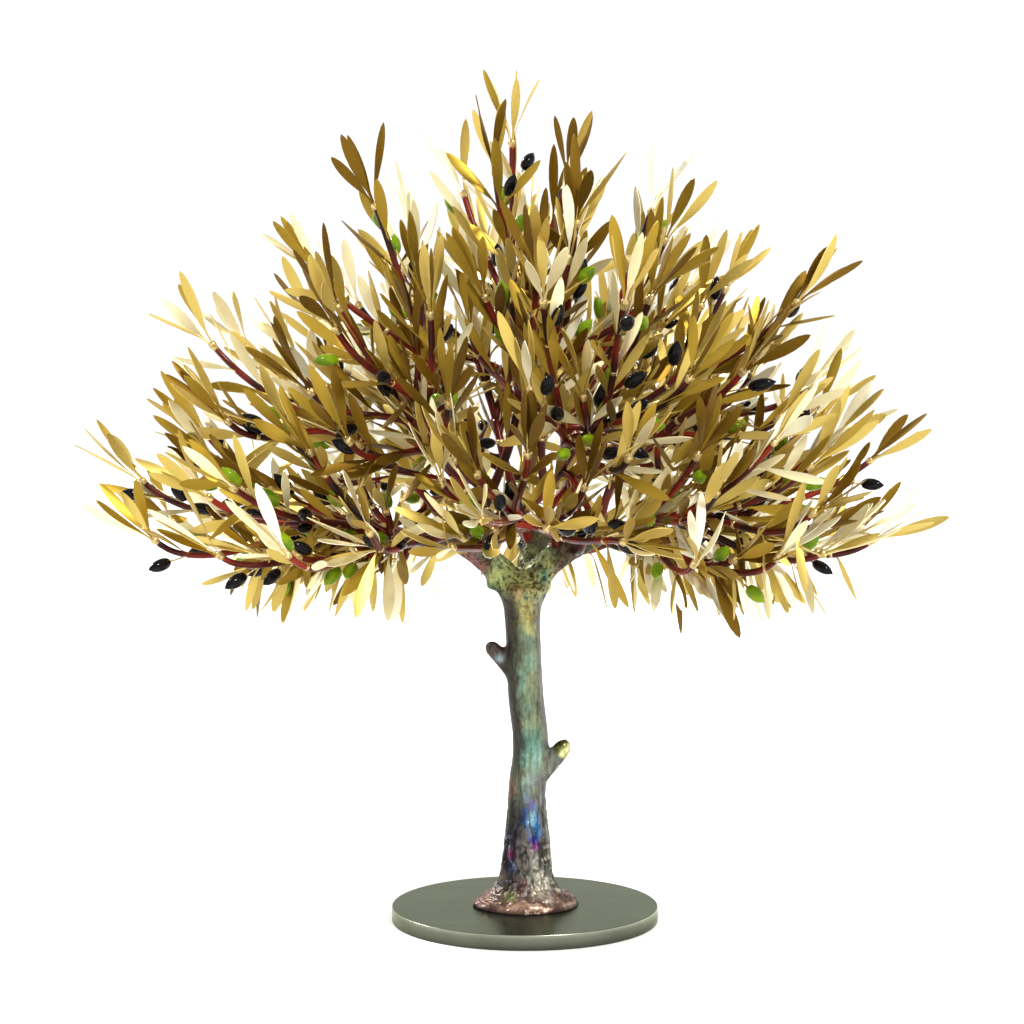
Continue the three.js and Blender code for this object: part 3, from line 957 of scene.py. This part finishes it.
def patches_with_painted_light():
    """The casting's patches of patina, with a few of painted shade and a painted highlight marked where they
    stand, in the order
    that they lie over each other: tint as screen values, place, half the width and height in mm, and how
    strongly it covers.
    The shaft's come first, from the top down, then the fork's, the boughs', the foot's and those at the back."""
    return [
        ((172, 162, 98), on_trunk(0.93, -80), 8, 13, 0.9),
        ((184, 160, 92), on_trunk(0.905, -60), 5, 12, 0.9),
        ((172, 176, 118), on_trunk(0.87, -66), 6, 6, 0.8),
        ((84, 80, 56), on_trunk(0.9, -114), 4, 14, 0.85),
        ((82, 88, 68), on_trunk(0.79, -92), 4, 7, 0.85),
        ((118, 150, 128), on_trunk(0.765, -66), 6, 9, 0.85),
        ((150, 158, 122), on_trunk(0.69, -72), 9, 9, 0.85),
        ((108, 148, 132), on_trunk(0.7, -100), 3, 8, 0.8),
        ((122, 136, 106), on_trunk(0.655, -80), 10, 5, 0.8),
        ((136, 154, 132), on_trunk(0.615, -96), 6, 6, 0.7),
        ((148, 158, 120), on_trunk(0.575, -80), 9, 6, 0.85),
        ((112, 158, 140), on_trunk(0.49, -82), 11, 14, 0.9),
        ((152, 184, 170), on_trunk(0.45, -70), 4.5, 12, 0.8),
        ((144, 166, 160), on_trunk(0.39, -88), 6, 8, 0.85),
        ((104, 124, 136), on_trunk(0.345, -92), 5, 7, 0.8),
        ((132, 134, 134), on_trunk(0.38, -45), 8, 16, 0.85),
        ((120, 124, 116), on_trunk(0.6, -20), 5, 40, 0.8),
        ((188, 182, 112), FORK + np.array([1, -11, 2]) * MM, 17, 9, 0.95),
        ((166, 176, 108), FORK + np.array([-12, -10, 8]) * MM, 10, 8, 0.9),
        ((104, 150, 124), FORK + np.array([17, -7, 7]) * MM, 6, 6, 0.9),
        ((176, 148, 100), on_trunk(0.985, -100), 8, 6, 0.8),
        # Painted shade in the crotch between the boughs: the next two dark patches.
        ((48, 50, 38), FORK + np.array([8, -8, 13]) * MM, 8, 3.5, 0.95),
        ((50, 50, 34), FORK + np.array([2, 10, 15]) * MM, 9, 8, 0.95),
        ((62, 112, 66), inside("bough_left", 0.66, 0.4, 0.02), 7, 6, 0.95),
        ((138, 88, 88), inside("bough_left", 0.5, 0.35, 0.5), 11, 10, 0.95),
        ((116, 84, 74), inside("bough_left", 0.4, 0.5, 0.75), 12, 11, 0.9),
        ((70, 56, 44), inside("bough_left", 0.1, 0.4, 0.9), 20, 14, 0.95),
        ((70, 72, 48), inside("bough_right", 0.7, 0.5, 0.75), 22, 18, 0.95),
        ((78, 80, 56), inside("bough_back", 0.7, 0.75, 0.8), 26, 24, 0.9),
        ((92, 68, 54), inside("bough_front", 0.6, 0.4, 0.6), 24, 22, 0.9),
        ((122, 76, 54), on_trunk(0.37, -150), 7, 9, 0.9),
        ((66, 66, 58), on_trunk(0.3, -128), 8, 10, 0.9),
        ((126, 118, 168), on_trunk(0.32, -74), 4, 4, 0.85),
        ((38, 50, 112), on_trunk(0.28, -100), 3, 6, 0.85),
        ((24, 118, 188), on_trunk(0.258, -64), 5.5, 11, 1.0),
        # A painted highlight: pale cyan on the blue heat tint.
        ((170, 220, 236), on_trunk(0.275, -74), 3, 6, 0.9),
        ((62, 60, 170), on_trunk(0.215, -72), 4, 3, 0.9),
        ((150, 38, 146), on_trunk(0.192, -64), 4.5, 3.2, 0.95),
        ((46, 44, 50), on_trunk(0.16, -134), 12, 16, 0.95),
        ((44, 40, 42), on_trunk(0.19, -156), 10, 18, 0.9),
        ((34, 36, 60), on_trunk(0.22, -124), 8, 9, 0.9),
        ((102, 22, 62), on_trunk(0.17, -136), 4, 5, 0.9),
        ((70, 96, 160), on_trunk(0.12, -130), 3, 7, 0.8),
        ((96, 92, 78), on_trunk(0.16, -98), 4, 16, 0.8),
        ((146, 136, 136), on_trunk(0.14, -62), 7, 10, 0.85),
        ((76, 64, 52), on_trunk(0.07, -130), 14, 11, 0.95),
        ((192, 186, 166), on_trunk(0.09, -56), 8, 8, 0.9),
        ((100, 150, 136), on_trunk(0.44, 95), 12, 22, 0.8),
        ((150, 148, 100), on_trunk(0.66, 110), 10, 18, 0.7),
        ((186, 178, 108), on_trunk(1.02, 90), 15, 10, 0.8),
        ((40, 84, 140), on_trunk(0.24, 120), 6, 9, 0.85),
        ((112, 44, 110), on_trunk(0.17, 96), 5, 5, 0.8),
    ]


def patina_and_painted_light(points, sunk, hairlines, settings):
    """The tint and polish of every point of the casting: lengthwise streaks of verdigris, khaki and grey, a
    dark brown painted shade down the left flank and a paler mauve painted light down the right, the patches
    over them with streaked edges, some of them painted shade and highlights, copper round the foot, dark
    hollows, pale hairlines and worn ridges."""
    height, seed = up_trunk(points), settings.seed
    side = unit(points[:, :2] - trunk_at(points[:, 2])[0])[:, 0]
    streak = fractal(points, 4.5 * MM, seed + 41, 4, stretch=(1, 1, 5))
    clouds = fractal(points, 16 * MM, seed + 43, 3, stretch=(1, 1, 1.6))
    fine = fractal(points, 3.6 * MM, seed + 61, 4, stretch=(1.8, 1.8, 1))
    ragged = 0.55 * fractal(points, 5 * MM, seed + 53, 4, stretch=(1, 1, 2.2))
    ragged = ragged + 0.45 * fractal(points, 1.7 * MM, seed + 54, 2, stretch=(1, 1, 1.8)) - 0.5

    verdigris, khaki, grey = tone(112, 138, 116), tone(136, 140, 106), tone(94, 102, 88)
    tint = laid_over(verdigris, khaki, smooth_step(0.36, 0.54, clouds))
    tint = laid_over(tint, grey, 0.85 * smooth_step(0.46, 0.62, streak))
    fork_khaki = tone(164, 168, 108) * (0.75 + 0.5 * streak)[:, None]
    tint = laid_over(tint, fork_khaki, 0.85 * bump_at(height, 1.04, 0.09))
    aside = np.linalg.norm(points[:, :2] - FORK[:2], axis=1)
    on_bough = smooth_step(0.99, 1.05, height) * smooth_step(17 * MM, 27 * MM, aside)
    plum_brown = laid_over(tone(84, 76, 50), tone(116, 80, 70), smooth_step(0.4, 0.6, clouds))
    tint = laid_over(tint, plum_brown, on_bough)
    ashen = laid_over(tone(78, 78, 72), tone(122, 114, 112), smooth_step(0.42, 0.6, streak))
    tint = laid_over(tint, ashen, 0.9 * (1 - smooth_step(0.2, 0.36, height)))
    for screen, place, wide, tall, cover in patches_with_painted_light():
        reach = far_from(points, place, wide, wide, tall) + 2.2 * ragged
        tint = laid_over(tint, tone(*screen), cover * (1 - smooth_step(0.2, 1.4, reach)))

    # Painted shade and light on the shaft: dark brown down the left flank as painted shade, and a paler mauve
    # down the right as painted light.
    on_shaft = smooth_step(0.17, 0.3, height) * (1 - smooth_step(0.95, 1.04, height))
    shaded_left_flank = smooth_step(0.02, 0.62, -side + 0.8 * ragged) * on_shaft
    lit_right_flank = smooth_step(0.45, 0.95, side + 0.5 * ragged) * on_shaft
    tint = laid_over(tint, tone(50, 44, 36), 0.96 * shaded_left_flank * (1 - 0.7 * bump_at(height, 0.37, 0.06)))
    tint = laid_over(tint, tone(118, 116, 112), 0.75 * lit_right_flank)

    copper, rose = tone(186, 152, 134), tone(98, 72, 62)
    # Copper through the rose round the foot, laid on more strongly towards the right as a painted light on
    # the lit side.
    copper_and_painted_light = smooth_step(0.4, 0.72, fine) * (0.45 + 0.55 * smooth_step(-0.6, 0.3, side))
    skirt = 1 - smooth_step(0.03, 0.075, height + 0.08 * ragged)
    tint = laid_over(tint, laid_over(rose, copper, copper_and_painted_light), skirt)
    for over, place, wide, rough, low, high, cover in (
        (rose * 1.2, on_trunk(0.075, -98), 6, 2.0, 0.5, 1.1, 0.8),
        (tone(74, 62, 50), on_trunk(0.045, -134), 8, 2.4, 0.5, 1.2, 0.8),
        # A painted highlight: a pale patch on the foot's front lip.
        (tone(186, 172, 154), on_trunk(0.05, -60), 8, 2.4, 0.5, 1.2, 0.8),
        (tone(118, 132, 66), on_trunk(0.045, -114), 4.5, 2.0, 0.4, 1.2, 0.65),
    ):
        reach = far_from(points, place, wide) + rough * ragged
        tint = laid_over(tint, over, cover * (1 - smooth_step(low, high, reach)))

    # Pale ridges round the foot: partly wear, partly a painted highlight, laid on mostly on the lit right
    # side.
    worn_and_lit_ridges = smooth_step(0.56, 0.72, fine) * (1 - sunk)
    worn_and_lit_ridges = worn_and_lit_ridges * bump_at(height, 0.11, 0.08) * smooth_step(-0.2, 0.5, side)
    tint = laid_over(tint, tone(222, 216, 192), 0.75 * worn_and_lit_ridges)
    threads = hairlines * bump_at(height, 0.18, 0.09) * smooth_step(0.1, 0.6, -side)
    tint = laid_over(tint, tone(150, 160, 196), 0.75 * threads)
    pitted = smooth_step(0.58, 0.68, fractal(points, 1.6 * MM, seed + 67, 2))
    tint = tint * (1 - 0.72 * pitted * (0.25 + 0.75 * bump_at(height, 1.02, 0.1)))[:, None]
    tint = tint * (1 - 0.72 * sunk)[:, None]
    # Painted contact shadow: near-black over the lowest millimetres of the foot, where it meets the plate.
    tint = laid_over(tint, tone(34, 27, 23), 0.85 * (1 - smooth_step(0.0, 0.012, height)))

    tip, end = inside("stub_right", 1.0, 0.3, 1.0), inside("stub_right", 1.0, 0.5, 1.0)
    bare = smooth_step(0, 1, (15 * MM + 4 * MM * ragged - np.linalg.norm(points - tip, axis=1)) / (3 * MM))
    # The right stub's tip is bare brass, with painted shade: darker on one side and lighter on the other
    # across the stub, and a painted highlight line along it.
    along = unit(end - inside("stub_right", 0.0, 0.5, 0.0))
    across = (points - end) @ np.array([along[2], 0, -along[0]])
    brass = laid_over(tone(92, 98, 52), tone(150, 148, 84), smooth_step(-4 * MM, 0.5 * MM, across))
    brass = laid_over(brass, tone(232, 226, 170), bump_at(across, 1.2 * MM, 1.8 * MM))
    tint = laid_over(tint, brass * (0.85 + 0.3 * fine)[:, None], bare)
    stub_skin = bell(points, inside("stub_left", 0.2, 0.4, 0.75), 13)
    tint = laid_over(tint, tone(78, 68, 62), 0.85 * smooth_step(0.25, 0.6, stub_skin))
    # A painted highlight: a pale blue-grey spot on the left stub.
    painted_stub_highlight = far_from(points, inside("stub_left", 0.55, 0.1, 0.56), 5) + ragged
    tint = laid_over(tint, tone(140, 166, 172), 0.7 * (1 - smooth_step(0.1, 1.1, painted_stub_highlight)))

    heated = 1 - smooth_step(0.6, 1.1, far_from(points, on_trunk(0.25, -64), 7, 7, 13))
    return np.clip(tint, 0, 1), np.clip(0.9 * bare + 0.4 * heated + 0.22 * skirt, 0, 1)


class OLIVE_OT_casting(bpy.types.Operator):
    """Cast the trunk, stubs and boughs as one skin with its relief, its patina and its painted shade and
    highlights.
    """

    bl_idname = "olive_tree.casting"
    bl_label = "Cast Trunk and Boughs"

    def execute(self, context):
        settings = context.scene.olive_casting
        mesh = fused_skin(settings.grain)
        edges = read(mesh.edges, "vertices", 2, np.int32)
        fairing_rounds, weld_rounds = 14, 70
        points = rounded_foot(relaxed(read(mesh.vertices, "co", 3), edges, fairing_rounds))
        welds = bump_at(up_trunk(points), 1.02, 0.1)
        for stub in ("stub_left", "stub_right"):
            level = inside(stub, 0.5, 0.5, 0.3)[2]
            middle, radius = trunk_at(level)
            joint = np.array([*middle, level])
            joint[0] += np.sign(inside(stub, 0.5, 0, 0)[0] - joint[0]) * radius
            welds = np.maximum(welds, bell(points, joint, 12))
            welds = np.maximum(welds, 0.4 * bell(points, inside(stub, 0.5, 0.5, 0.6), 16))
        points = relaxed(points, edges, weld_rounds, push=0.5, share=welds[:, None])
        mesh.vertices.foreach_set("co", points.ravel())
        mesh.update()
        outward = read(mesh.vertex_normals, "vector", 3)
        relief, sunk, hairlines = cast_relief(points, settings)
        for place, wide, high in casting_lumps():
            relief += high * MM * bell(points, place, wide)
        tint, polish = patina_and_painted_light(points, sunk, hairlines, settings)
        points = points + outward * relief[:, None]
        points[:, 2] = np.maximum(points[:, 2], PLATE_TOP + 0.02 * MM)
        mesh.vertices.foreach_set("co", points.ravel())
        mesh.update()
        mesh.polygons.foreach_set("use_smooth", np.ones(len(mesh.polygons), bool))
        # The tint stored here holds painted shade and highlights as well as the patina.
        stored = mesh.attributes.new("patina_and_painted_light", "FLOAT_COLOR", "POINT")
        stored.data.foreach_set("color", np.concatenate([tint, np.ones((len(tint), 1))], 1).ravel())
        mesh.attributes.new("polish", "FLOAT", "POINT").data.foreach_set("value", polish)
        mesh.materials.clear()
        mesh.materials.append(bronze_patina_and_painted_light())
        mesh.name = "cast_tree"
        piece = placed("cast_tree", mesh)
        keep(piece, CASTING)
        return {"FINISHED"}


class OLIVE_OT_rods(bpy.types.Operator):
    """Bend the copper rods: round tubes along the grown paths, tapered and faintly dented, one piece for
    each tier of sprays."""

    bl_idname = "olive_tree.rods"
    bl_label = "Copper Rods"

    def execute(self, context):
        settings = context.scene.olive_rods
        rods, _ = grow(context.scene)
        paths, ends, sprays = (np.array(column) for column in zip(*rods))
        radii = ends[:, :1] + (ends[:, 1:] - ends[:, :1]) * np.linspace(0, 1, ROD_STEPS)
        wobble = fractal(paths.reshape(-1, 3), 9 * MM, settings.seed, 2).reshape(radii.shape)
        radii = radii * (0.92 + 0.16 * wobble)
        material = lacquered_copper(settings)
        tiers = np.array([name.split("_")[0] for name in SPRAYS])
        for tier in sorted(set(tiers)):
            own = tiers[sprays] == tier
            points, faces = round_tubes(paths[own], radii[own], ROD_SIDES)
            piece = new_piece("copper_rods_" + tier, points, faces, [material])
            keep(piece, ["rod_" + name for name in np.array(SPRAYS)[tiers == tier].tolist()])
        print("rods:", len(rods))
        return {"FINISHED"}


class OLIVE_OT_solder(bpy.types.Operator):
    """Solder the nodes: a lumpy brass collar round the rod at about half of them, and a cup on each tip."""

    bl_idname = "olive_tree.solder"
    bl_label = "Solder and Tip Cups"

    def execute(self, context):
        _, nodes = grow(context.scene)
        rng = np.random.default_rng(context.scene.olive_leaves.seed + 1)
        soldered = (nodes["order"] == 0) | (rng.uniform(0, 1, len(nodes["order"])) < 0.45)
        nodes = {name: column[soldered] for name, column in nodes.items()}
        at_tip = nodes["order"] == 0
        t = np.linspace(0, 1, 6)
        collar = np.array([0.6, 1.02, 1.09, 1.12, 1.04, 0.6])
        cup = np.array([0.9, 1.12, 1.2, 1.36, 1.24, 0.5])
        shape = np.where(at_tip[:, None], cup, collar)
        radii = nodes["radius"][:, None] * shape * rng.uniform(0.9, 1.1, shape.shape)
        lengths = np.where(at_tip, 7 * MM, 3.6 * MM) * rng.uniform(0.8, 1.25, len(at_tip))
        bases = nodes["place"] - nodes["way"] * (lengths * np.where(at_tip, 0.6, 0.5))[:, None]
        points, faces = revolved(bases, nodes["way"], lengths, t, radii, ROD_SIDES)
        piece = new_piece("brass_solder", points, faces, [soldered_brass(context.scene.olive_leaves)])
        keep(piece)
        return {"FINISHED"}


# Shares of a leaf's length at which its section is set: close together where the stalk bends and at the
# tip. Then where the stalk ends, and where along the blade it is widest.
LEAF_MARKS = np.array([0.0, 0.09, 0.18, 0.3, 0.44, 0.58, 0.72, 0.85, 0.95, 1.0])
STALK_END, WIDEST = 0.16, 0.6
LEAF_TINTS = ("champagne", "pale_gold", "old_gold", "olive_gold", "brown_gold")


def leaf_lines(bases, rod_ways, ways, lengths, bends):
    """The middle lines of leaves: each sets off between its own way and the rod's, turns into its own
    over the first quarter, and then bends by the square of the share run. The steps are added up."""
    turn = smooth_step(-0.12, 0.26, (LEAF_MARKS[1:] + LEAF_MARKS[:-1]) / 2)[None, :, None]
    steps = unit(rod_ways[:, None] * (1 - turn) + ways[:, None] * turn)
    steps = steps * (lengths[:, None] * np.diff(LEAF_MARKS))[..., None]
    run = np.concatenate([np.zeros_like(steps[:, :1]), np.cumsum(steps, 1)], 1)
    return bases[:, None] + run + (bends * lengths[:, None])[:, None] * (LEAF_MARKS**2)[None, :, None]


def leaf_blades(paths, across, widths, twists, settings):
    """Leaves as thin closed blades along their middle lines. The half width is the stalk's, and from a
    sixth of the way v^1.05 (1-v)^0.7 of the blade's, which is widest a little past its middle. Six points
    make the section: two at each edge, and one in the middle of each face, which the cup lifts."""
    v = np.clip((LEAF_MARKS - STALK_END) / (1 - STALK_END), 0, 1)
    blade = v**1.05 * (1 - v) ** 0.7 / (WIDEST**1.05 * (1 - WIDEST) ** 0.7)
    half = settings.stalk / 2 * (1 - 0.7 * LEAF_MARKS) + widths[:, None] / 2 * blade
    edge = np.array([1, 1, 0, -1, -1, 0])
    face = np.array([-0.5, 0.5, 0.5, 0.5, -0.5, -0.5])
    middle = np.array([0, 0, 1, 0, 0, 1])
    flat = half[..., None] * edge
    high = settings.sheet * face + (settings.cup * blade)[None, :, None] * middle
    turn = (twists[:, None] * LEAF_MARKS)[..., None]
    across_by, up_by = flat * np.cos(turn) - high * np.sin(turn), flat * np.sin(turn) + high * np.cos(turn)
    return swept(paths, across_by, up_by, across)


def leaf_tints_lit_by_place(nodes, rng):
    """A tint for each shoot's leaves, dealt out at random and shifted by place as painted light and shade:
    champagne more often at the left and the back, and browner gold at the top and the front."""
    shoots = nodes["shoot"].max() + 1
    number = np.maximum(np.bincount(nodes["shoot"], minlength=shoots), 1)
    x, y, z = (np.bincount(nodes["shoot"], line, shoots) / number for line in nodes["place"].T)
    across, deep = x / CAD_BOX[1][0], y / CAD_BOX[1][0]
    upward = smooth_step(TRUNK_HIGH[2] * 1.2, CAD_BOX[1][2] * 0.9, z)
    # Place shifts the tint as painted light and shade: paler to the left and the back, browner to the right,
    # the front and the top.
    tint_with_painted_light = 1.98 + 0.7 * across - 1.1 * deep + 0.45 * upward + rng.normal(0, 1.0, shoots)
    return np.clip(np.round(tint_with_painted_light), 0, len(LEAF_TINTS) - 1).astype(int)[nodes["shoot"]]


class OLIVE_OT_leaves(bpy.types.Operator):
    """Set the brass leaves: a whorl of four or five at each tip and two or three at each node, one piece
    for each spray. Some of the lowest droop. A leaf that would stand out of the crown or hide the fork is
    folded in or left out."""

    bl_idname = "olive_tree.leaves"
    bl_label = "Brass Leaves"

    def execute(self, context):
        settings = context.scene.olive_leaves
        _, nodes = grow(context.scene)
        rng = np.random.default_rng(settings.seed)
        tints = leaf_tints_lit_by_place(nodes, rng)
        at_tip = nodes["order"] == 0
        counts = np.where(at_tip, rng.integers(4, 6, len(at_tip)), rng.integers(2, 4, len(at_tip)))
        index, off = whorls(nodes, counts, rng)
        total = len(index)
        tip_leaf = at_tip[index]
        at_tips = rng.normal(settings.tip_spread, 0.12, total)
        at_nodes = rng.normal(settings.node_spread, 0.24, total)
        spread = np.clip(np.where(tip_leaf, at_tips, at_nodes), 0.08, 1.5)[:, None]
        way = nodes["way"][index]
        bases = nodes["place"][index] + off * (nodes["radius"][index] * 0.7)[:, None]
        bases = bases + way * (1.5 * MM * tip_leaf)[:, None]
        lengths = settings.length * rng.uniform(0.8, 1.12, total)
        widths = settings.width * rng.uniform(0.76, 1.14, total)

        ways = unit(way * np.cos(spread) + off * np.sin(spread))
        low = (bases[:, 2] < FORK[2] + 48 * MM) & (rng.uniform(0, 1, total) < 0.55) & ~tip_leaf
        drooping = unit(0.5 * ways - UP * rng.uniform(0.3, 1.4, (total, 1)))
        closed = spread * np.where(tip_leaf, 0.75, 0.4)[:, None]
        folded = unit(way * np.cos(closed) + off * np.sin(closed))
        proud = proudness(bases + ways * lengths[:, None]) > settings.proud
        ways = np.where(proud[:, None], folded, ways)
        ways = np.where(low[:, None], drooping, ways)
        ends = bases + ways * lengths[:, None]
        allowed = np.where(low, 6.5, 1.6) * settings.proud
        left_out = hides_fork(ends) | hides_fork(bases)
        left_out |= (proudness(ends) > allowed) & ~(tip_leaf & ~low)

        tangent = np.cross(way, off)
        lean = rng.normal(0, 0.95, total)[:, None]
        across = unit(tangent * np.cos(lean) + np.cross(ways, tangent) * np.sin(lean))
        bends = np.cross(ways, across) * rng.normal(0.03, 0.08, total)[:, None]
        bends = bends + UP * rng.normal(0.02, 0.03, total)[:, None]
        twists = rng.normal(0, 0.5, total)
        paths = leaf_lines(bases, way, ways, lengths, bends)
        materials = [sheet_brass(name, getattr(settings, name)) for name in LEAF_TINTS]
        leaf_tint = np.clip(tints[index] + rng.choice([-1, -1, 0, 0, 1, 1], total), 0, len(LEAF_TINTS) - 1)
        for number, name in enumerate(SPRAYS):
            own = (nodes["spray"][index] == number) & ~left_out
            points, faces = leaf_blades(paths[own], across[own], widths[own], twists[own], settings)
            dealt = np.repeat(leaf_tint[own], len(faces) // own.sum())
            piece = new_piece("brass_leaves_" + name, points, faces, materials, dealt, math.radians(40))
            keep(piece, ["leaves_" + name])
        print("leaves:", int((~left_out).sum()), "left out:", int(left_out.sum()), "tips:", int(at_tip.sum()))
        return {"FINISHED"}


class OLIVE_OT_olives(bpy.types.Operator):
    """Hang the olives: turned solids with a pointed tip, each on a bent wire stalk, black or green. The
    radius is nearly that of an ellipse, times 1 - t^3 / 4 towards the tip."""

    bl_idname = "olive_tree.olives"
    bl_label = "Olives and Stalks"

    def execute(self, context):
        settings = context.scene.olive_olives
        _, nodes = grow(context.scene)
        rng = np.random.default_rng(settings.seed)
        outer = (nodes["order"] > 0) & (nodes["order"] < 4)
        counts = (outer & (rng.uniform(0, 1, len(outer)) < settings.often)).astype(int)
        index, off = whorls(nodes, counts, rng)
        total = len(index)
        off = unit(off + 0.9 * unit(nodes["place"][index] - FORK))
        spread = rng.uniform(0.5, 1.25, total)[:, None]
        way = nodes["way"][index]
        ways = unit(way * np.cos(spread) + off * np.sin(spread) - UP * 0.15)
        bases = nodes["place"][index] + off * nodes["radius"][index][:, None] * 0.6
        stalk = settings.stalk * rng.uniform(0.7, 1.25, total)
        hang = unit(ways + off * rng.uniform(-0.1, 0.5, (total, 1)))
        shown = ~hides_fork(bases + ways * (stalk + settings.length)[:, None])
        ends = bases + ways * stalk[:, None]
        t = np.linspace(0, 1, 6)[None, :, None]
        bow = (hang * stalk[:, None] * 0.25)[:, None]
        paths = bases[:, None] + (ends - bases)[:, None] * t - bow * t * (1 - t)
        thick = np.full(paths.shape[:2], settings.wire)
        thick[:, -1] *= 1.8
        points, faces = round_tubes(paths[shown], thick[shown], WIRE_SIDES)
        stalks = new_piece("olive_stalks", points, faces, [soldered_brass(context.scene.olive_leaves)])
        keep(stalks)

        t = np.linspace(0, 1, 11)
        body = np.sqrt(np.clip(1 - (2 * t - 0.94) ** 2 / 0.94**2, 0, 1)) ** 0.92
        body = np.maximum(body * (1 - 0.25 * t**3), 0.06)
        body[-1] = 0.03
        ripe = rng.uniform(0, 1, total) < settings.ripe
        lengths = settings.length * rng.uniform(0.88, 1.1, total)
        radii = settings.radius * rng.uniform(0.9, 1.08, total)[:, None] * body
        shiny_black = glazed_fruit("black_glaze", settings.black, srgb(14, 9, 13), 0.4)
        shiny_green = glazed_fruit("green_glaze", settings.green, srgb(84, 116, 18), 0.26)
        for name, kind, glaze in (("olives_black", ripe, shiny_black), ("olives_green", ~ripe, shiny_green)):
            own = kind & shown
            points, faces = revolved(ends[own], hang[own], lengths[own], t, radii[own], OLIVE_SIDES)
            keep(new_piece(name, points, faces, [glaze]))
        print("olives:", int(ripe.sum()), int((~ripe).sum()))
        return {"FINISHED"}


def distant_light(name, bearing, height, strength, softness):
    """A distant light. Bearing and height are in degrees, with a bearing of 0 to the right and -90 to the
    front."""
    light = bpy.data.lights.new(name, "SUN")
    light.energy = strength
    light.angle = softness
    turn, rise = math.radians(bearing), math.radians(height)
    lamp = placed(name, light)
    lamp.location = (math.cos(turn) * math.cos(rise), math.sin(turn) * math.cos(rise), math.sin(rise))
    lamp.rotation_mode = "QUATERNION"
    lamp.rotation_quaternion = (-lamp.location).to_track_quat("-Z", "Y")


class OLIVE_OT_stage(bpy.types.Operator):
    """Set the floor, the soft lights and the camera."""

    bl_idname = "olive_tree.stage"
    bl_label = "Floor, Lights and Camera"

    def execute(self, context):
        scene, settings = context.scene, context.scene.olive_stage
        reach = 30.0
        corners = np.array([[-1, -1, 0], [1, -1, 0], [1, 1, 0], [-1, 1, 0]]) * reach
        corners[:, 2] = PLATE_LOW[2] - 0.1 * MM
        paint = new_material("floor", settings.floor, 0, 0.9)
        floor = new_piece("floor", corners, np.array([[0, 1, 2, 3]]), [paint])

        distant_light("key", -58, 46, settings.key, settings.softness)
        distant_light("back", 142, 38, settings.back, settings.softness)

        world = bpy.data.worlds.new("studio")
        world.use_nodes = True
        scene.world = world
        way = node(world, "ShaderNodeTexCoord").outputs["Generated"]
        upward = node(world, "ShaderNodeSeparateXYZ", {"Vector": way}).outputs["Z"]
        glow = ranged(world, upward, settings.horizon, settings.ceiling, 0.25, 0.8)
        background = world.node_tree.nodes["Background"]
        background.inputs["Color"].default_value = (1, 1, 1, 1)
        world.node_tree.links.new(glow, background.inputs["Strength"])

        camera = bpy.data.cameras.new("camera")
        camera.lens = settings.lens
        camera.sensor_width = 36
        holder = placed("camera", camera)
        holder.location = (settings.aside, -settings.distance, settings.height)
        target = Vector((settings.aside, 0, settings.aim))
        holder.rotation_mode = "QUATERNION"
        holder.rotation_quaternion = (target - holder.location).to_track_quat("-Z", "Y")
        scene.camera = holder
        scene.view_settings.view_transform = "Standard"
        return {"FINISHED"}


class OLIVE_PT_tree(bpy.types.Panel):
    """Every part of the tree, in the order of making."""

    bl_idname = "OLIVE_PT_tree"
    bl_label = "Metal Olive Tree"
    bl_space_type = "VIEW_3D"
    bl_region_type = "UI"
    bl_category = "Olive Tree"

    def draw(self, context):
        for operator, settings in STEPS:
            box = self.layout.box()
            box.operator(operator.bl_idname)
            if settings:
                group = getattr(context.scene, settings)
                for name in group.__annotations__:
                    box.prop(group, name)


GROUPS = {
    "olive_plate": OLIVE_PlateSettings,
    "olive_casting": OLIVE_CastingSettings,
    "olive_rods": OLIVE_RodSettings,
    "olive_leaves": OLIVE_LeafSettings,
    "olive_olives": OLIVE_OliveSettings,
    "olive_stage": OLIVE_StageSettings,
}
STEPS = (
    (OLIVE_OT_stage, "olive_stage"),
    (OLIVE_OT_plate, "olive_plate"),
    (OLIVE_OT_casting, "olive_casting"),
    (OLIVE_OT_rods, "olive_rods"),
    (OLIVE_OT_solder, None),
    (OLIVE_OT_leaves, "olive_leaves"),
    (OLIVE_OT_olives, "olive_olives"),
)


def register():
    """Adds the classes and gives the scene their settings."""
    for group in (*GROUPS.values(), *(operator for operator, _ in STEPS), OLIVE_PT_tree):
        bpy.utils.register_class(group)
    for name, group in GROUPS.items():
        setattr(bpy.types.Scene, name, PointerProperty(type=group))


def unregister():
    """Takes them away again."""
    for name in GROUPS:
        delattr(bpy.types.Scene, name)
    for group in (OLIVE_PT_tree, *(operator for operator, _ in STEPS), *GROUPS.values()):
        bpy.utils.unregister_class(group)


def main():
    """Makes every piece in order."""
    register()
    bpy.ops.olive_tree.stage()
    bpy.ops.olive_tree.plate()
    bpy.ops.olive_tree.casting()
    bpy.ops.olive_tree.rods()
    bpy.ops.olive_tree.solder()
    bpy.ops.olive_tree.leaves()
    bpy.ops.olive_tree.olives()


if __name__ == "__main__":
    main()
